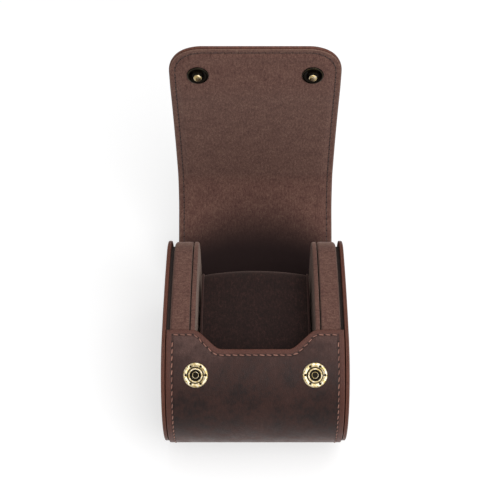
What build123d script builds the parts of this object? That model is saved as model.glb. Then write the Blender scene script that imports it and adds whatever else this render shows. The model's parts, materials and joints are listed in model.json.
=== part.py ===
from build123d import *
import os
from math import acos, atan2, cos, degrees, hypot, radians, sin, sqrt, tan

# A leather travel case for one watch, standing on its base with the flap open. Sizes are in
# millimetres and angles in degrees. X runs across the case, the front faces -Y and +Z is up.
# The origin is on the flat base, in the middle of the case's width and depth. In the side
# view a point is (y, z), and an angle is measured from +Y towards +Z.

# ---- the end covers' outline, seen from the side
CASE_WIDTH = 85.0
CASE_DEPTH = 96.0
CASE_HEIGHT = 67.5
CROWN_RADIUS = 200.0
FRONT_TOP_RADIUS = 33.5
FRONT_RUN = 0.87  # the front's short upright stretch, between its two rounds
BACK_TOP_RADIUS = 19.0
BACK_BOTTOM_RADIUS = 20.0

# ---- sheet goods
LEATHER = 1.4
BOARD = 0.9
SUEDE = 0.7
RIM_SEAT = 0.5  # the end walls' rims lie this far inside the covers' outline
CLEAR = 0.3  # running clearance between soft parts that move past each other

# ---- end walls, from the outside inwards along X
COVER_LEATHER = 1.0
COVER_BACKING = 0.8
SHADOW_GROOVE = 1.6
BAND_WIDTH = 8.9
BAND_PADDING = 2.4
BAND_BEVEL = 0.8
LIP_GROOVE = 0.6
LIP_BOARD = 1.4
WRAP_EDGE_GAP = 0.4  # between the wrap's cut edge and the cover beside it
LINING_EDGE_GAP = 0.1

# ---- the front panel's upper edge
PANEL_EDGE_SETBACK = 33.2  # from the front of the covers
NOTCH_DEPTH = 9.4
NOTCH_MARGIN = 0.8  # from the end walls
NOTCH_SLOPE_WIDTH = 9.7
NOTCH_CORNER_RADIUS = 2.0

# ---- flap: each panel's angle when open as stored, at its start
ROOT_ANGLE = 34.0
CORNER_PANEL_ANGLE = 60.0
TOP_PANEL_ANGLE = 89.9
FRONT_PANEL_ANGLE = 89.1
OPENS_FURTHER = 30.0
SNAP_ANGLE = 126.4  # the sockets' axes, leaning forward on the front's upper round
SNAP_MARGIN = 0.7  # from the end walls to the snaps' axes
SNAPPED_GAP = 3.2  # leather to suede, between socket and stud when snapped
FOLD_TO_SNAP = 10.0
SNAP_TO_CURL = 6.2
TIP_CURL_RADIUS = 40.0
TIP_CURL = 15.0
TIP_CORNER_RADIUS = 16.0
SUEDE_INSET = 0.4
BOARD_INSET = 3.0

# ---- press snaps, radii and heights from the face that they are set on
SOCKET_RADIUS = 5.6
SOCKET_HEIGHT = 2.0
SOCKET_SINK = 0.3
COLLAR_RADIUS = 3.3
SOCKET_BORE = 2.45
FLANGE_BEVEL = 0.5
COLLAR_LIP = 0.4
SPRING_WIRE = 0.4
SPRING_SLACK = 0.05
SPRING_GAP = 50.0
RIVET_ROLL_RADIUS = 1.8
RIVET_ROLL = 0.4
RIVET_OUTER = 1.45
RIVET_BORE = 1.15
RIVET_HEAD_RADIUS = 3.0
RIVET_HEAD = 0.7
DIMPLE_RADIUS = 0.35
DIMPLE_DEPTH = 0.3
DIMPLE_COUNT = 6
DIMPLE_CIRCLE = 4.15
WIRE_SIDE_COUNT = 6
STUD_RADIUS = 5.1
STUD_BASE = 0.8
STUD_BEVEL = 0.45
STUD_NECK = 1.5
BALL_RADIUS = 1.95
BALL_HEIGHT = 1.7
BALL_TOP_RADIUS = 1.2
STUD_HEIGHT = 2.6
CAP_RADIUS = 6.0
CAP_HEIGHT = 1.3
CAP_BEVEL = 0.7
POST_RADIUS = 1.3
POST_CLEARANCE = 0.1
HEAD_CLEARANCE = 0.3

# ---- pillow
PILLOW_SIDE_GAP = 1.2
PILLOW_FRONT_GAP = 19.9
PILLOW_BACK_GAP = 11.9
PILLOW_BELOW_CROWN = 17.0
PILLOW_CORNER = 15.0
PILLOW_BULGE = 10.0
PILLOW_CROWN = 1.8
PILLOW_FLAT = 0.5
PILLOW_COVER = 0.8
PILLOW_EDGE = 1.4
PILLOW_BAND_COUNT = 6
CORNER_FLAT_COUNT = 5
SIDE_FLAT_COUNT = 3
PILLOW_LIFT = 84.0
PILLOW_LEAN = 20.0  # it comes out backwards, past the front panel's edge

# ---- worked out from the sizes above
PROUD = LEATHER - RIM_SEAT  # the wrap's outer face lies this far outside the covers' outline
FLAP_STACK = SUEDE + BOARD + LEATHER
MIDLINE = SUEDE + BOARD + LEATHER / 2  # from the suede face to the middle of the leather
FOLD_GAP = LEATHER / 2 + CLEAR

COVER_SEAM_X = CASE_WIDTH / 2 - COVER_LEATHER
COVER_INNER_X = COVER_SEAM_X - COVER_BACKING
WRAP_HALF = COVER_INNER_X - WRAP_EDGE_GAP
BAND_OUTER_X = COVER_INNER_X - SHADOW_GROOVE
BAND_INNER_X = BAND_OUTER_X - BAND_WIDTH
LIP_OUTER_X = BAND_INNER_X - LIP_GROOVE
LIP_INNER_X = LIP_OUTER_X - LIP_BOARD - SUEDE

NOTCH_TOP_HALF = LIP_INNER_X - NOTCH_MARGIN
NOTCH_BOTTOM_HALF = NOTCH_TOP_HALF - NOTCH_SLOPE_WIDTH
SNAP_X = LIP_INNER_X - SNAP_MARGIN

FRONT_Y = -CASE_DEPTH / 2
BACK_Y = CASE_DEPTH / 2
CROWN_Z = PROUD + CASE_HEIGHT - CROWN_RADIUS
FRONT_TOP_Y = FRONT_Y + FRONT_TOP_RADIUS
FRONT_TOP_Z = CROWN_Z + sqrt((CROWN_RADIUS - FRONT_TOP_RADIUS) ** 2 - FRONT_TOP_Y**2)
BACK_TOP_Y = BACK_Y - BACK_TOP_RADIUS
BACK_TOP_Z = CROWN_Z + sqrt((CROWN_RADIUS - BACK_TOP_RADIUS) ** 2 - BACK_TOP_Y**2)
BACK_TOP_TURN = degrees(acos(BACK_TOP_Y / (CROWN_RADIUS - BACK_TOP_RADIUS)))
CROWN_END = degrees(acos(FRONT_TOP_Y / (CROWN_RADIUS - FRONT_TOP_RADIUS)))
FRONT_BOTTOM_RADIUS = FRONT_TOP_Z - PROUD - FRONT_RUN
BASE_RUN = CASE_DEPTH - FRONT_BOTTOM_RADIUS - BACK_BOTTOM_RADIUS
BASE_START_Y = FRONT_Y + FRONT_BOTTOM_RADIUS
PANEL_EDGE_Y = FRONT_Y + PANEL_EDGE_SETBACK
NOTCH_BOTTOM_Y = PANEL_EDGE_Y - NOTCH_DEPTH

LINING_DEPTH = RIM_SEAT + BOARD + SUEDE  # from the covers' outline to the cavity's suede
PILLOW_WIDTH = 2 * (LIP_INNER_X - PILLOW_SIDE_GAP)
PILLOW_DEPTH = CASE_DEPTH - 2 * LINING_DEPTH - PILLOW_FRONT_GAP - PILLOW_BACK_GAP
PILLOW_HEIGHT = CASE_HEIGHT - PILLOW_BELOW_CROWN
PILLOW_CENTRE_Y = (PILLOW_FRONT_GAP - PILLOW_BACK_GAP) / 2
PILLOW_SEAT_Z = PROUD + LINING_DEPTH + CLEAR


def direction(angle):
    """The unit vector at an angle in the side view."""
    return Vector(cos(radians(angle)), sin(radians(angle)))


def run(length):
    """A straight stretch of an outline."""
    return ("run", length)


def bend(radius, turn):
    """A left-hand arc of an outline."""
    return ("bend", radius, turn)


def walk(start, angle, moves, out=0.0):
    """Follows runs and bends from start, shifted out to their right, and gives the edges,
    the unshifted end point and the end angle."""
    point = Vector(*start)
    edges = []
    for kind, *size in moves:
        right = direction(angle - 90)
        first = point + right * out
        if kind == "run":
            point = point + direction(angle) * size[0]
            edges.append(Line(first, point + right * out))
        else:
            radius, turn = size
            centre = point - right * radius
            middle = centre + direction(angle - 90 + turn / 2) * (radius + out)
            angle += turn
            last = centre + direction(angle - 90) * (radius + out)
            point = centre + direction(angle - 90) * radius
            edges.append(ThreePointArc(first, middle, last))
    return edges, point, angle


def strip(start, angle, moves, low, high):
    """The side-view face of a sheet that follows the moves between two shifts."""
    outer = walk(start, angle, moves, high)[0]
    inner = walk(start, angle, moves, low)[0]
    tip = Line(outer[-1] @ 1, inner[-1] @ 1)
    heel = Line(inner[0] @ 0, outer[0] @ 0)
    return make_face(outer + inner + [tip, heel])


def across(face, low_x, high_x):
    """A side-view face made solid from one X to another."""
    return extrude(Plane.YZ.offset(low_x) * face, high_x - low_x, dir=(1, 0, 0))


def end_outline(inset):
    """The end covers' outline as a face, drawn in by inset."""
    moves = [
        run(BASE_RUN),
        bend(BACK_BOTTOM_RADIUS, 90),
        run(BACK_TOP_Z - PROUD - BACK_BOTTOM_RADIUS),
        bend(BACK_TOP_RADIUS, BACK_TOP_TURN),
        bend(CROWN_RADIUS, CROWN_END - BACK_TOP_TURN),
        bend(FRONT_TOP_RADIUS, 180 - CROWN_END),
        run(FRONT_RUN),
        bend(FRONT_BOTTOM_RADIUS, 90),
    ]
    return make_face(walk((BASE_START_Y, PROUD), 0, moves, -inset)[0])


def disc(inset, low_x, high_x):
    """A plate with the end covers' outline drawn in by inset."""
    return across(end_outline(inset), low_x, high_x)


def top_edges(shape, x):
    """The rim's edges on the flat face at one X."""
    return shape.faces().filter_by_position(Axis.X, x, x).sort_by(SortBy.AREA)[-1].outer_wire().edges()


# ---- the closed flap's leather midline, which its four folds lie on
FLAP_LIFT = CLEAR - RIM_SEAT + MIDLINE
FLAP_BACK_Y = BACK_Y + FLAP_LIFT
WRAP_MID = PROUD - LEATHER / 2
CORNER_TANGENT = (BACK_TOP_RADIUS + FLAP_LIFT) * tan(radians(BACK_TOP_TURN / 4))
CORNER_CENTRE = Vector(BACK_Y - BACK_BOTTOM_RADIUS, PROUD + BACK_BOTTOM_RADIUS)
WRAP_LEAVES = CORNER_CENTRE + direction(ROOT_ANGLE - 90) * BACK_BOTTOM_RADIUS
ROOT_RUN = (FLAP_BACK_Y - (WRAP_LEAVES + direction(ROOT_ANGLE - 90) * WRAP_MID).X) / cos(
    radians(ROOT_ANGLE)
)
SNAP_AXIS = direction(SNAP_ANGLE)
FRONT_CENTRE = Vector(FRONT_TOP_Y, FRONT_TOP_Z)
SOCKET_SEAT = FRONT_CENTRE + SNAP_AXIS * (FRONT_TOP_RADIUS + PROUD)
SNAP_HEADING = SNAP_ANGLE + 90

FOLD_1 = WRAP_LEAVES + direction(ROOT_ANGLE - 90) * WRAP_MID + direction(ROOT_ANGLE) * ROOT_RUN
FOLD_2 = Vector(FLAP_BACK_Y, BACK_TOP_Z + CORNER_TANGENT)
HALF_CORNER = BACK_TOP_TURN / 2
FOLD_3 = FOLD_2 + direction(90 + HALF_CORNER) * (2 * CORNER_TANGENT)
FOLD_4 = (
    SOCKET_SEAT
    + SNAP_AXIS * (SNAPPED_GAP + MIDLINE)
    - direction(SNAP_HEADING) * FOLD_TO_SNAP
)
TOP_HEADING = 90 + BACK_TOP_TURN
CROWN_START = FOLD_3 + direction(TOP_HEADING) * CORNER_TANGENT
TOP_CHORD = FOLD_4 - CROWN_START
TOP_HALF_TURN = degrees(atan2(TOP_CHORD.Y, TOP_CHORD.X)) % 360 - TOP_HEADING
TOP_RADIUS = TOP_CHORD.length / (2 * sin(radians(TOP_HALF_TURN)))

PANELS = {
    "back": (FOLD_1, 90, [run((FOLD_2 - FOLD_1).length)]),
    "corner": (FOLD_2, 90 + HALF_CORNER, [run(2 * CORNER_TANGENT)]),
    "top": (FOLD_3, TOP_HEADING, [run(CORNER_TANGENT), bend(TOP_RADIUS, 2 * TOP_HALF_TURN)]),
    "front": (
        FOLD_4,
        SNAP_HEADING,
        [run(FOLD_TO_SNAP + SNAP_TO_CURL), bend(TIP_CURL_RADIUS, TIP_CURL)],
    ),
}
REST_ANGLES = {
    "back": ROOT_ANGLE,
    "corner": CORNER_PANEL_ANGLE,
    "top": TOP_PANEL_ANGLE,
    "front": FRONT_PANEL_ANGLE,
}


def fold_turns():
    """How far each fold turns from the stored pose to closed, by panel."""
    turns = {}
    carried = 0.0
    for name, (_, closed_angle, _) in PANELS.items():
        turns[name] = closed_angle - REST_ANGLES[name] - carried
        carried += turns[name]
    return turns


FOLD_TURNS = fold_turns()


def opened(shape, panel):
    """Carries a shape of the closed flap to the stored, open pose."""
    names = list(PANELS)
    for name in reversed(names[: names.index(panel) + 1]):
        fold = PANELS[name][0]
        shape = shape.rotate(Axis((0, fold.X, fold.Y), (1, 0, 0)), -FOLD_TURNS[name])
    return shape


def trimmed(start, angle, moves, head, tail):
    """The same moves, shortened by head at the first run and by tail at the last move."""
    moves = list(moves)
    moves[0] = run(moves[0][1] - head)
    kind, *size = moves[-1]
    if kind == "run":
        moves[-1] = run(size[0] - tail)
    else:
        moves[-1] = bend(size[0], size[1] - degrees(tail / size[0]))
    return start + direction(angle) * head, angle, moves


# ---- end walls, built on the +X side


def cover_leather():
    """The cover's outer leather, cut flush with the backing."""
    return disc(0, COVER_SEAM_X, CASE_WIDTH / 2)


def cover_backing():
    """The second leather, glued behind the first."""
    return disc(0, COVER_INNER_X, COVER_SEAM_X)


def end_core():
    """The wall's wooden core. Beside the band its bare rim is the floor of the dark grooves."""
    return disc(RIM_SEAT + BAND_PADDING, LIP_OUTER_X, COVER_INNER_X)


def rim_band():
    """The padded suede band round the core's rim."""
    band = disc(RIM_SEAT, BAND_INNER_X, BAND_OUTER_X)
    band = chamfer(top_edges(band, BAND_OUTER_X), BAND_BEVEL)
    return band - disc(RIM_SEAT + BAND_PADDING, BAND_INNER_X, BAND_OUTER_X)


def lip_suede():
    """The cavity wall's suede, turned over the rim of its board."""
    lip = disc(RIM_SEAT, LIP_INNER_X, LIP_OUTER_X)
    lip -= disc(RIM_SEAT + SUEDE, LIP_INNER_X + SUEDE, LIP_OUTER_X)
    return lip - rivet_pocket(1)


def lip_board():
    return disc(RIM_SEAT + SUEDE, LIP_INNER_X + SUEDE, LIP_OUTER_X) - rivet_pocket(1)


# ---- the wrap: front panel, base and the root of the flap


def wrap_track(start_y, root_trim):
    """Start, angle and moves of the wrap from an edge on the crown round to the flap's root."""
    edge_angle = degrees(acos(start_y / CROWN_RADIUS))
    start = Vector(0, CROWN_Z) + direction(edge_angle) * CROWN_RADIUS
    moves = [
        bend(CROWN_RADIUS, CROWN_END - edge_angle),
        bend(FRONT_TOP_RADIUS, 180 - CROWN_END),
        run(FRONT_RUN),
        bend(FRONT_BOTTOM_RADIUS, 90),
        run(BASE_RUN),
        bend(BACK_BOTTOM_RADIUS, ROOT_ANGLE),
        run(ROOT_RUN - root_trim),
    ]
    return start, edge_angle + 90, moves


def notch(grow):
    """The cut that dips the front panel's edge between the end walls."""
    corners = [
        (-NOTCH_TOP_HALF - grow, PANEL_EDGE_Y),
        (-NOTCH_BOTTOM_HALF - grow, NOTCH_BOTTOM_Y - grow),
        (NOTCH_BOTTOM_HALF + grow, NOTCH_BOTTOM_Y - grow),
        (NOTCH_TOP_HALF + grow, PANEL_EDGE_Y),
        (NOTCH_TOP_HALF + grow, 0),
        (-NOTCH_TOP_HALF - grow, 0),
    ]
    face = make_face(Polyline(*corners, close=True))
    inner = face.vertices().sort_by(Axis.Y)[:2]
    face = fillet(inner, NOTCH_CORNER_RADIUS)
    return extrude(Plane.XY.offset(CASE_HEIGHT / 2) * face, CASE_HEIGHT)


def wrap_leather():
    """The outer leather, one sheet from the front panel under the base to the flap's root."""
    track = wrap_track(PANEL_EDGE_Y, FOLD_GAP)
    wrap = across(strip(*track, -RIM_SEAT, PROUD), -WRAP_HALF, WRAP_HALF) - notch(0)
    for side in (-1, 1):
        wrap -= snap_place(side) * Cylinder(RIVET_OUTER + POST_CLEARANCE, 4 * LEATHER)
        wrap -= snap_place(side) * column(SOCKET_RADIUS + POST_CLEARANCE, -SOCKET_SINK, LEATHER)
        wrap -= rivet_pocket(side)
    return wrap


def wrap_board():
    """The stiffener behind the front panel, the base and the flap's root."""
    track = wrap_track(PANEL_EDGE_Y, BOARD_INSET)
    half = LIP_INNER_X - LINING_EDGE_GAP
    board = across(strip(*track, -RIM_SEAT - BOARD, -RIM_SEAT), -half, half) - notch(CLEAR)
    for side in (-1, 1):
        board -= rivet_pocket(side)
    return board


def cavity_lining():
    """The suede on the cavity's front, floor and back corner."""
    suede_trim = MIDLINE * tan(radians(FOLD_TURNS["back"] / 2)) + CLEAR / 2
    track = wrap_track(PANEL_EDGE_Y, suede_trim)
    half = LIP_INNER_X - LINING_EDGE_GAP
    return across(strip(*track, -LINING_DEPTH, SUEDE - LINING_DEPTH), -half, half) - notch(0)


# ---- flap panels


def tip_outline(inset):
    """A tall block with the flap tip's plan, square to the snap's axis, on the closed flap."""
    tip = SNAP_TO_CURL + TIP_CURL_RADIUS * sin(radians(TIP_CURL)) - inset
    length = tip + 2 * FOLD_TO_SNAP
    plan = RectangleRounded(2 * (WRAP_HALF - inset), 2 * length, TIP_CORNER_RADIUS - inset)
    block = extrude(Pos(0, length - tip, 0) * plan, FLAP_STACK * 8, both=True)
    return snap_place(0) * block


def snap_place(side):
    """The frame on the front panel's leather at a socket: +Z outwards, +Y away from the tip."""
    axis = (0, SNAP_AXIS.X, SNAP_AXIS.Y)
    origin = (side * SNAP_X, SOCKET_SEAT.X, SOCKET_SEAT.Y)
    return Plane(origin, x_dir=(1, 0, 0), z_dir=axis).location


def column(radius, low, high):
    """A cylinder on the local Z axis between two heights."""
    return Pos(0, 0, (low + high) / 2) * Cylinder(radius, high - low)


def sheet_panel(panel, low, high, inset, head, tail, nose=False):
    """One layer of one flap panel at its stored pose."""
    start, angle, moves = PANELS[panel]
    face = strip(*trimmed(start, angle, moves, head, tail), low, high)
    if nose:
        face += Pos(start.X, start.Y) * Circle(LEATHER / 2)
    half = WRAP_HALF - inset
    sheet = across(face, -half, half)
    if panel == "front":
        sheet &= tip_outline(inset)
        for side in (-1, 1):
            sheet -= snap_place(side) * Cylinder(POST_RADIUS + POST_CLEARANCE, FLAP_STACK * 8)
    return opened(sheet, panel)


def suede_setback(panel):
    """How far the suede stops short of a fold, so that it still clears when the fold closes."""
    names = list(PANELS)
    here = PANELS[panel]
    before = ROOT_ANGLE
    if panel != names[0]:
        previous = PANELS[names[names.index(panel) - 1]]
        before = walk(*previous)[2]
    return MIDLINE * tan(radians((here[1] - before) / 2)) + CLEAR / 2


def flap_layers():
    """Every layer of the four flap panels, by node name."""
    names = list(PANELS)
    layers = {}
    for number, panel in enumerate(names):
        last = number == len(names) - 1
        leather_tail = 0 if last else FOLD_GAP
        suede_tail = SUEDE_INSET if last else suede_setback(names[number + 1])
        half = LEATHER / 2
        layers[f"flap_leather_{panel}"] = sheet_panel(panel, -half, half, 0, 0, leather_tail, True)
        layers[f"flap_board_{panel}"] = sheet_panel(
            panel, -half - BOARD, -half, BOARD_INSET, BOARD_INSET, BOARD_INSET
        )
        layers[f"flap_suede_{panel}"] = sheet_panel(
            panel, -MIDLINE, -half - BOARD, SUEDE_INSET, suede_setback(panel), suede_tail
        )
    return layers


# ---- press snaps, each turned round its own Z axis


def turned(points):
    """A solid of revolution from its half profile of (radius, height) points."""
    return revolve(make_face(Plane.XZ * Polyline(*points, close=True)), Axis.Z)


def socket_shell():
    """The socket: a bevelled flange, and a raised collar whose lip holds the spring in."""
    under_lip = SOCKET_HEIGHT - COLLAR_LIP
    cup = SOCKET_BORE + SPRING_WIRE
    hole = RIVET_OUTER + POST_CLEARANCE
    shell = turned(
        [
            (hole, -SOCKET_SINK),
            (SOCKET_RADIUS, -SOCKET_SINK),
            (SOCKET_RADIUS, 0),
            (SOCKET_RADIUS - FLANGE_BEVEL, FLANGE_BEVEL),
            (COLLAR_RADIUS, FLANGE_BEVEL),
            (COLLAR_RADIUS, SOCKET_HEIGHT),
            (SOCKET_BORE, SOCKET_HEIGHT),
            (SOCKET_BORE, under_lip),
            (cup, under_lip),
            (cup, 0),
            (hole, 0),
        ]
    )
    mark = RegularPolygon(DIMPLE_RADIUS, 6)
    dimple = extrude(Pos(0, 0, FLANGE_BEVEL - DIMPLE_DEPTH) * mark, FLANGE_BEVEL)
    return shell - PolarLocations(DIMPLE_CIRCLE, DIMPLE_COUNT) * dimple


def socket_spring():
    """The split wire ring that grips the ball, held under the collar's lip."""
    height = SOCKET_HEIGHT - COLLAR_LIP - SPRING_WIRE / 2 - SPRING_SLACK
    radius = SOCKET_BORE + SPRING_WIRE / 2 - SPRING_SLACK
    section = RegularPolygon(SPRING_WIRE / 2, WIRE_SIDE_COUNT)
    wire = Plane(origin=(radius, 0, height), x_dir=(1, 0, 0), z_dir=(0, -1, 0)) * section
    return Rot(0, 0, SPRING_GAP / 2) * revolve(wire, Axis.Z, 360 - SPRING_GAP)


def socket_rivet():
    """The hollow rivet that holds a socket: head behind the leather, rolled end in the cup."""
    return turned(
        [
            (RIVET_BORE, -LEATHER - RIVET_HEAD),
            (RIVET_HEAD_RADIUS, -LEATHER - RIVET_HEAD),
            (RIVET_HEAD_RADIUS, -LEATHER),
            (RIVET_OUTER, -LEATHER),
            (RIVET_OUTER, 0),
            (RIVET_ROLL_RADIUS, 0),
            (RIVET_OUTER, RIVET_ROLL),
            (RIVET_BORE, 0),
        ]
    )


def rivet_pocket(side):
    """Room for a socket rivet's head, let into what lies behind the leather."""
    radius = RIVET_HEAD_RADIUS + HEAD_CLEARANCE
    return snap_place(side) * column(radius, -LEATHER - BOARD, -LEATHER)


def stud():
    """The stud: a bevelled base, a waist and the ball that the spring grips. +Z is off the
    suede."""
    body = turned(
        [
            (0, 0),
            (STUD_RADIUS, 0),
            (STUD_RADIUS, STUD_BASE - STUD_BEVEL),
            (STUD_RADIUS - STUD_BEVEL, STUD_BASE),
            (STUD_NECK, STUD_BASE),
            (BALL_RADIUS, BALL_HEIGHT),
            (BALL_TOP_RADIUS, STUD_HEIGHT),
            (0, STUD_HEIGHT),
        ]
    )
    return body - column(POST_RADIUS + POST_CLEARANCE / 2, -STUD_BEVEL, STUD_BEVEL)


def snap_cap():
    """The bevelled cap on the flap's outside, whose post is set into the stud. +Z points
    inwards, and the height is taken from the suede face."""
    outer = -FLAP_STACK
    post_end = STUD_BEVEL - POST_CLEARANCE
    return turned(
        [
            (0, outer - CAP_HEIGHT),
            (CAP_RADIUS - CAP_BEVEL, outer - CAP_HEIGHT),
            (CAP_RADIUS, outer - CAP_HEIGHT + CAP_BEVEL),
            (CAP_RADIUS, outer),
            (POST_RADIUS, outer),
            (POST_RADIUS, post_end),
            (0, post_end),
        ]
    )


def on_flap(shape, side):
    """Sets a stud or a cap on the flap's suede face, and carries it to the stored pose."""
    face = snap_place(side) * Pos(0, 0, SNAPPED_GAP) * Rot(180, 0, 0)
    return opened(face * shape, "front")


# ---- pillow


def pillow_moves(inset):
    """Start and moves of the pillow's crowned section, drawn in by inset."""
    half_bulge = radians(PILLOW_BULGE / 2)
    corner = PILLOW_CORNER - inset
    corner_turn = 90 - PILLOW_BULGE
    reach = corner * (cos(half_bulge) - sin(half_bulge))
    sag = tan(half_bulge / 2)
    depth = PILLOW_DEPTH - 2 * inset - 2 * reach
    height = PILLOW_HEIGHT - 2 * inset - 2 * reach
    long_chord = (depth - height * sag) / (1 - sag * sag)
    short_chord = height - long_chord * sag
    long_side = bend(long_chord / (2 * sin(half_bulge)), PILLOW_BULGE)
    short_side = bend(short_chord / (2 * sin(half_bulge)), PILLOW_BULGE)
    turn = bend(corner, corner_turn)
    floor = PILLOW_SEAT_Z - PILLOW_FLAT + inset
    start = (PILLOW_CENTRE_Y - long_chord / 2, floor + long_chord / 2 * sag)
    return start, -PILLOW_BULGE / 2, [long_side, turn, short_side, turn] * 2


def pillow_section(x, inset):
    """One closed section of the pillow, its arcs taken as short flats. Sections drawn in by
    different amounts have parallel flats, so what is lofted between them is plane."""
    sides = walk(*pillow_moves(inset))[0]
    counts = [SIDE_FLAT_COUNT, CORNER_FLAT_COUNT] * 4
    points = [side @ (n / count) for side, count in zip(sides, counts) for n in range(count)]
    return Plane.YZ.offset(x) * make_face(Polyline(*points, close=True))


def pillow_body(inset):
    """The crowned pillow between its end panels."""
    half = PILLOW_WIDTH / 2 - PILLOW_COVER
    stations = [2 * n / PILLOW_BAND_COUNT - 1 for n in range(PILLOW_BAND_COUNT + 1)]
    sections = [pillow_section(half * t, inset + PILLOW_CROWN * t * t) for t in stations]
    return loft(sections, ruled=True)


def pillow_rest():
    """The block above the plane on which the pillow rests."""
    size = 3 * PILLOW_DEPTH
    return Pos(0, 0, PILLOW_SEAT_Z + size / 2) * Box(size, size, size)


def pillow_foam():
    return pillow_body(PILLOW_COVER) & pillow_rest()


def pillow_wrap():
    """The suede strip sewn round the pillow."""
    return (pillow_body(0) - pillow_body(PILLOW_COVER)) & pillow_rest()


def pillow_end():
    """The suede end panel on the +X side, softened round its seam."""
    half = PILLOW_WIDTH / 2
    sections = [
        pillow_section(half - PILLOW_COVER, PILLOW_CROWN),
        pillow_section(half, PILLOW_CROWN + PILLOW_EDGE),
    ]
    return loft(sections, ruled=True) & pillow_rest()


# ---- assembly


def both_sides(name, shape):
    """The +X piece and its mirror image, as right and left nodes."""
    return {f"{name}_right": shape, f"{name}_left": mirror(shape, about=Plane.YZ)}


def assembly():
    """Every node's solid, by name."""
    nodes = {
        **both_sides("cover_leather", cover_leather()),
        **both_sides("cover_backing", cover_backing()),
        **both_sides("end_core", end_core()),
        **both_sides("rim_band", rim_band()),
        **both_sides("lip_suede", lip_suede()),
        **both_sides("lip_board", lip_board()),
        **both_sides("socket_shell", snap_place(1) * socket_shell()),
        **both_sides("socket_spring", snap_place(1) * socket_spring()),
        **both_sides("socket_rivet", snap_place(1) * socket_rivet()),
        **both_sides("stud", on_flap(stud(), 1)),
        **both_sides("snap_cap", on_flap(snap_cap(), 1)),
        **both_sides("pillow_end", pillow_end()),
        "wrap_leather": wrap_leather(),
        "wrap_board": wrap_board(),
        "cavity_lining": cavity_lining(),
        "pillow_foam": pillow_foam(),
        "pillow_wrap": pillow_wrap(),
    }
    nodes.update(flap_layers())
    return nodes


def fold_places():
    """Each fold's place in the stored pose, by panel."""
    places = {}
    names = list(PANELS)
    for number, panel in enumerate(names):
        point = Vector(0, PANELS[panel][0].X, PANELS[panel][0].Y)
        marker = Vertex(*point)
        if number:
            marker = opened(marker, names[number - 1])
        places[panel] = marker.center()
    return places


os.makedirs("parts", exist_ok=True)
for node, solid in assembly().items():
    export_step(solid, f"parts/{node}.step")
for panel, place in fold_places().items():
    print(f"fold {panel}: y {place.Y:.4f}, z {place.Z:.4f}, closes by {FOLD_TURNS[panel]:.4f} degrees")
print(f"flap opens {OPENS_FURTHER:.0f} degrees further at its root")
print(f"pillow lifts {PILLOW_LIFT:.0f} mm, leaning back {PILLOW_LEAN:.0f} degrees")
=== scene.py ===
# %% [markdown]
# # A leather travel case for one watch, dressed in Blender
#
# The real case is cut from leather and suede sheets, stitched by hand and closed by two press
# snaps. It could be sculpted by eye. But its parts are sheets and turned metal, which are
# simple functions, so every surface here is worked out from a formula with numpy. The CAD
# model gives the frame: each piece is drawn in the same axes and takes the place of its solids,
# and the end walls, the lining, the snaps and the pillow ride on a body of that model. Numbers
# are in millimetres until a mesh is made, and angles are in radians.

# %% Load the frame
import json

import bpy
import numpy as np
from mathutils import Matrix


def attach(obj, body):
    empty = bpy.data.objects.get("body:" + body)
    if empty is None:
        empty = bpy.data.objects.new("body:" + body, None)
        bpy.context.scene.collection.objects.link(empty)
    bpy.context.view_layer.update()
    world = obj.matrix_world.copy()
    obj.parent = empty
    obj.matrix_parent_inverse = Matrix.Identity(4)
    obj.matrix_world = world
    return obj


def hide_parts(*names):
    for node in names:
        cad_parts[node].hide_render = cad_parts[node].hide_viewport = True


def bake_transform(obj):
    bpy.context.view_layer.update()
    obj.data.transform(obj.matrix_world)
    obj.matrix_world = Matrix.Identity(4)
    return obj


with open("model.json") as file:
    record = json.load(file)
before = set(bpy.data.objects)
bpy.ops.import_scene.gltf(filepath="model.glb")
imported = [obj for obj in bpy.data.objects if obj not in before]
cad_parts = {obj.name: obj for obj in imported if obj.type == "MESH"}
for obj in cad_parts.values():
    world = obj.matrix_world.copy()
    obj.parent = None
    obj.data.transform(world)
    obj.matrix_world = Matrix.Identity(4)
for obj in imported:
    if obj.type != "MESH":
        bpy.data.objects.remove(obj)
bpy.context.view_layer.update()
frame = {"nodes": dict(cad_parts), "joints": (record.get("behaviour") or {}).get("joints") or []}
MM = 0.001

# %% [markdown]
# ## Driving dimensions
#
# A leather worker starts from a side view and a list of thicknesses, and so does this file.
# The side view is drawn in (y, z). The end walls share one outline of runs and arcs, and the
# sheets follow a track round it and up the flap. The sizes could be measured on the frame's
# meshes, but a named size also says what it is, and every piece below follows from these.

# %% The outline and the layers
CASE_WIDTH = 85.0
CASE_DEPTH = 96.0
CASE_HEIGHT = 67.5
CROWN_RADIUS = 200.0
FRONT_TOP_RADIUS = 33.5
FRONT_RUN = 0.87
BACK_TOP_RADIUS = 19.0
BACK_BOTTOM_RADIUS = 20.0
LEATHER = 1.4
BOARD = 0.9
SUEDE = 0.7
RIM_SEAT = 0.5
COVER_LEATHER = 1.0
COVER_BACKING = 0.8
SHADOW_GROOVE = 1.6
BAND_WIDTH = 8.9
BAND_PADDING = 2.4
LIP_GROOVE = 0.6
LIP_BOARD = 1.4
WRAP_EDGE_GAP = 0.4
LINING_GAP = 0.1
SUEDE_STEP = 0.4
BOARD_STEP = 3.0
print("outline:", CASE_WIDTH, "wide,", CASE_DEPTH, "deep,", CASE_HEIGHT, "high")

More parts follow.
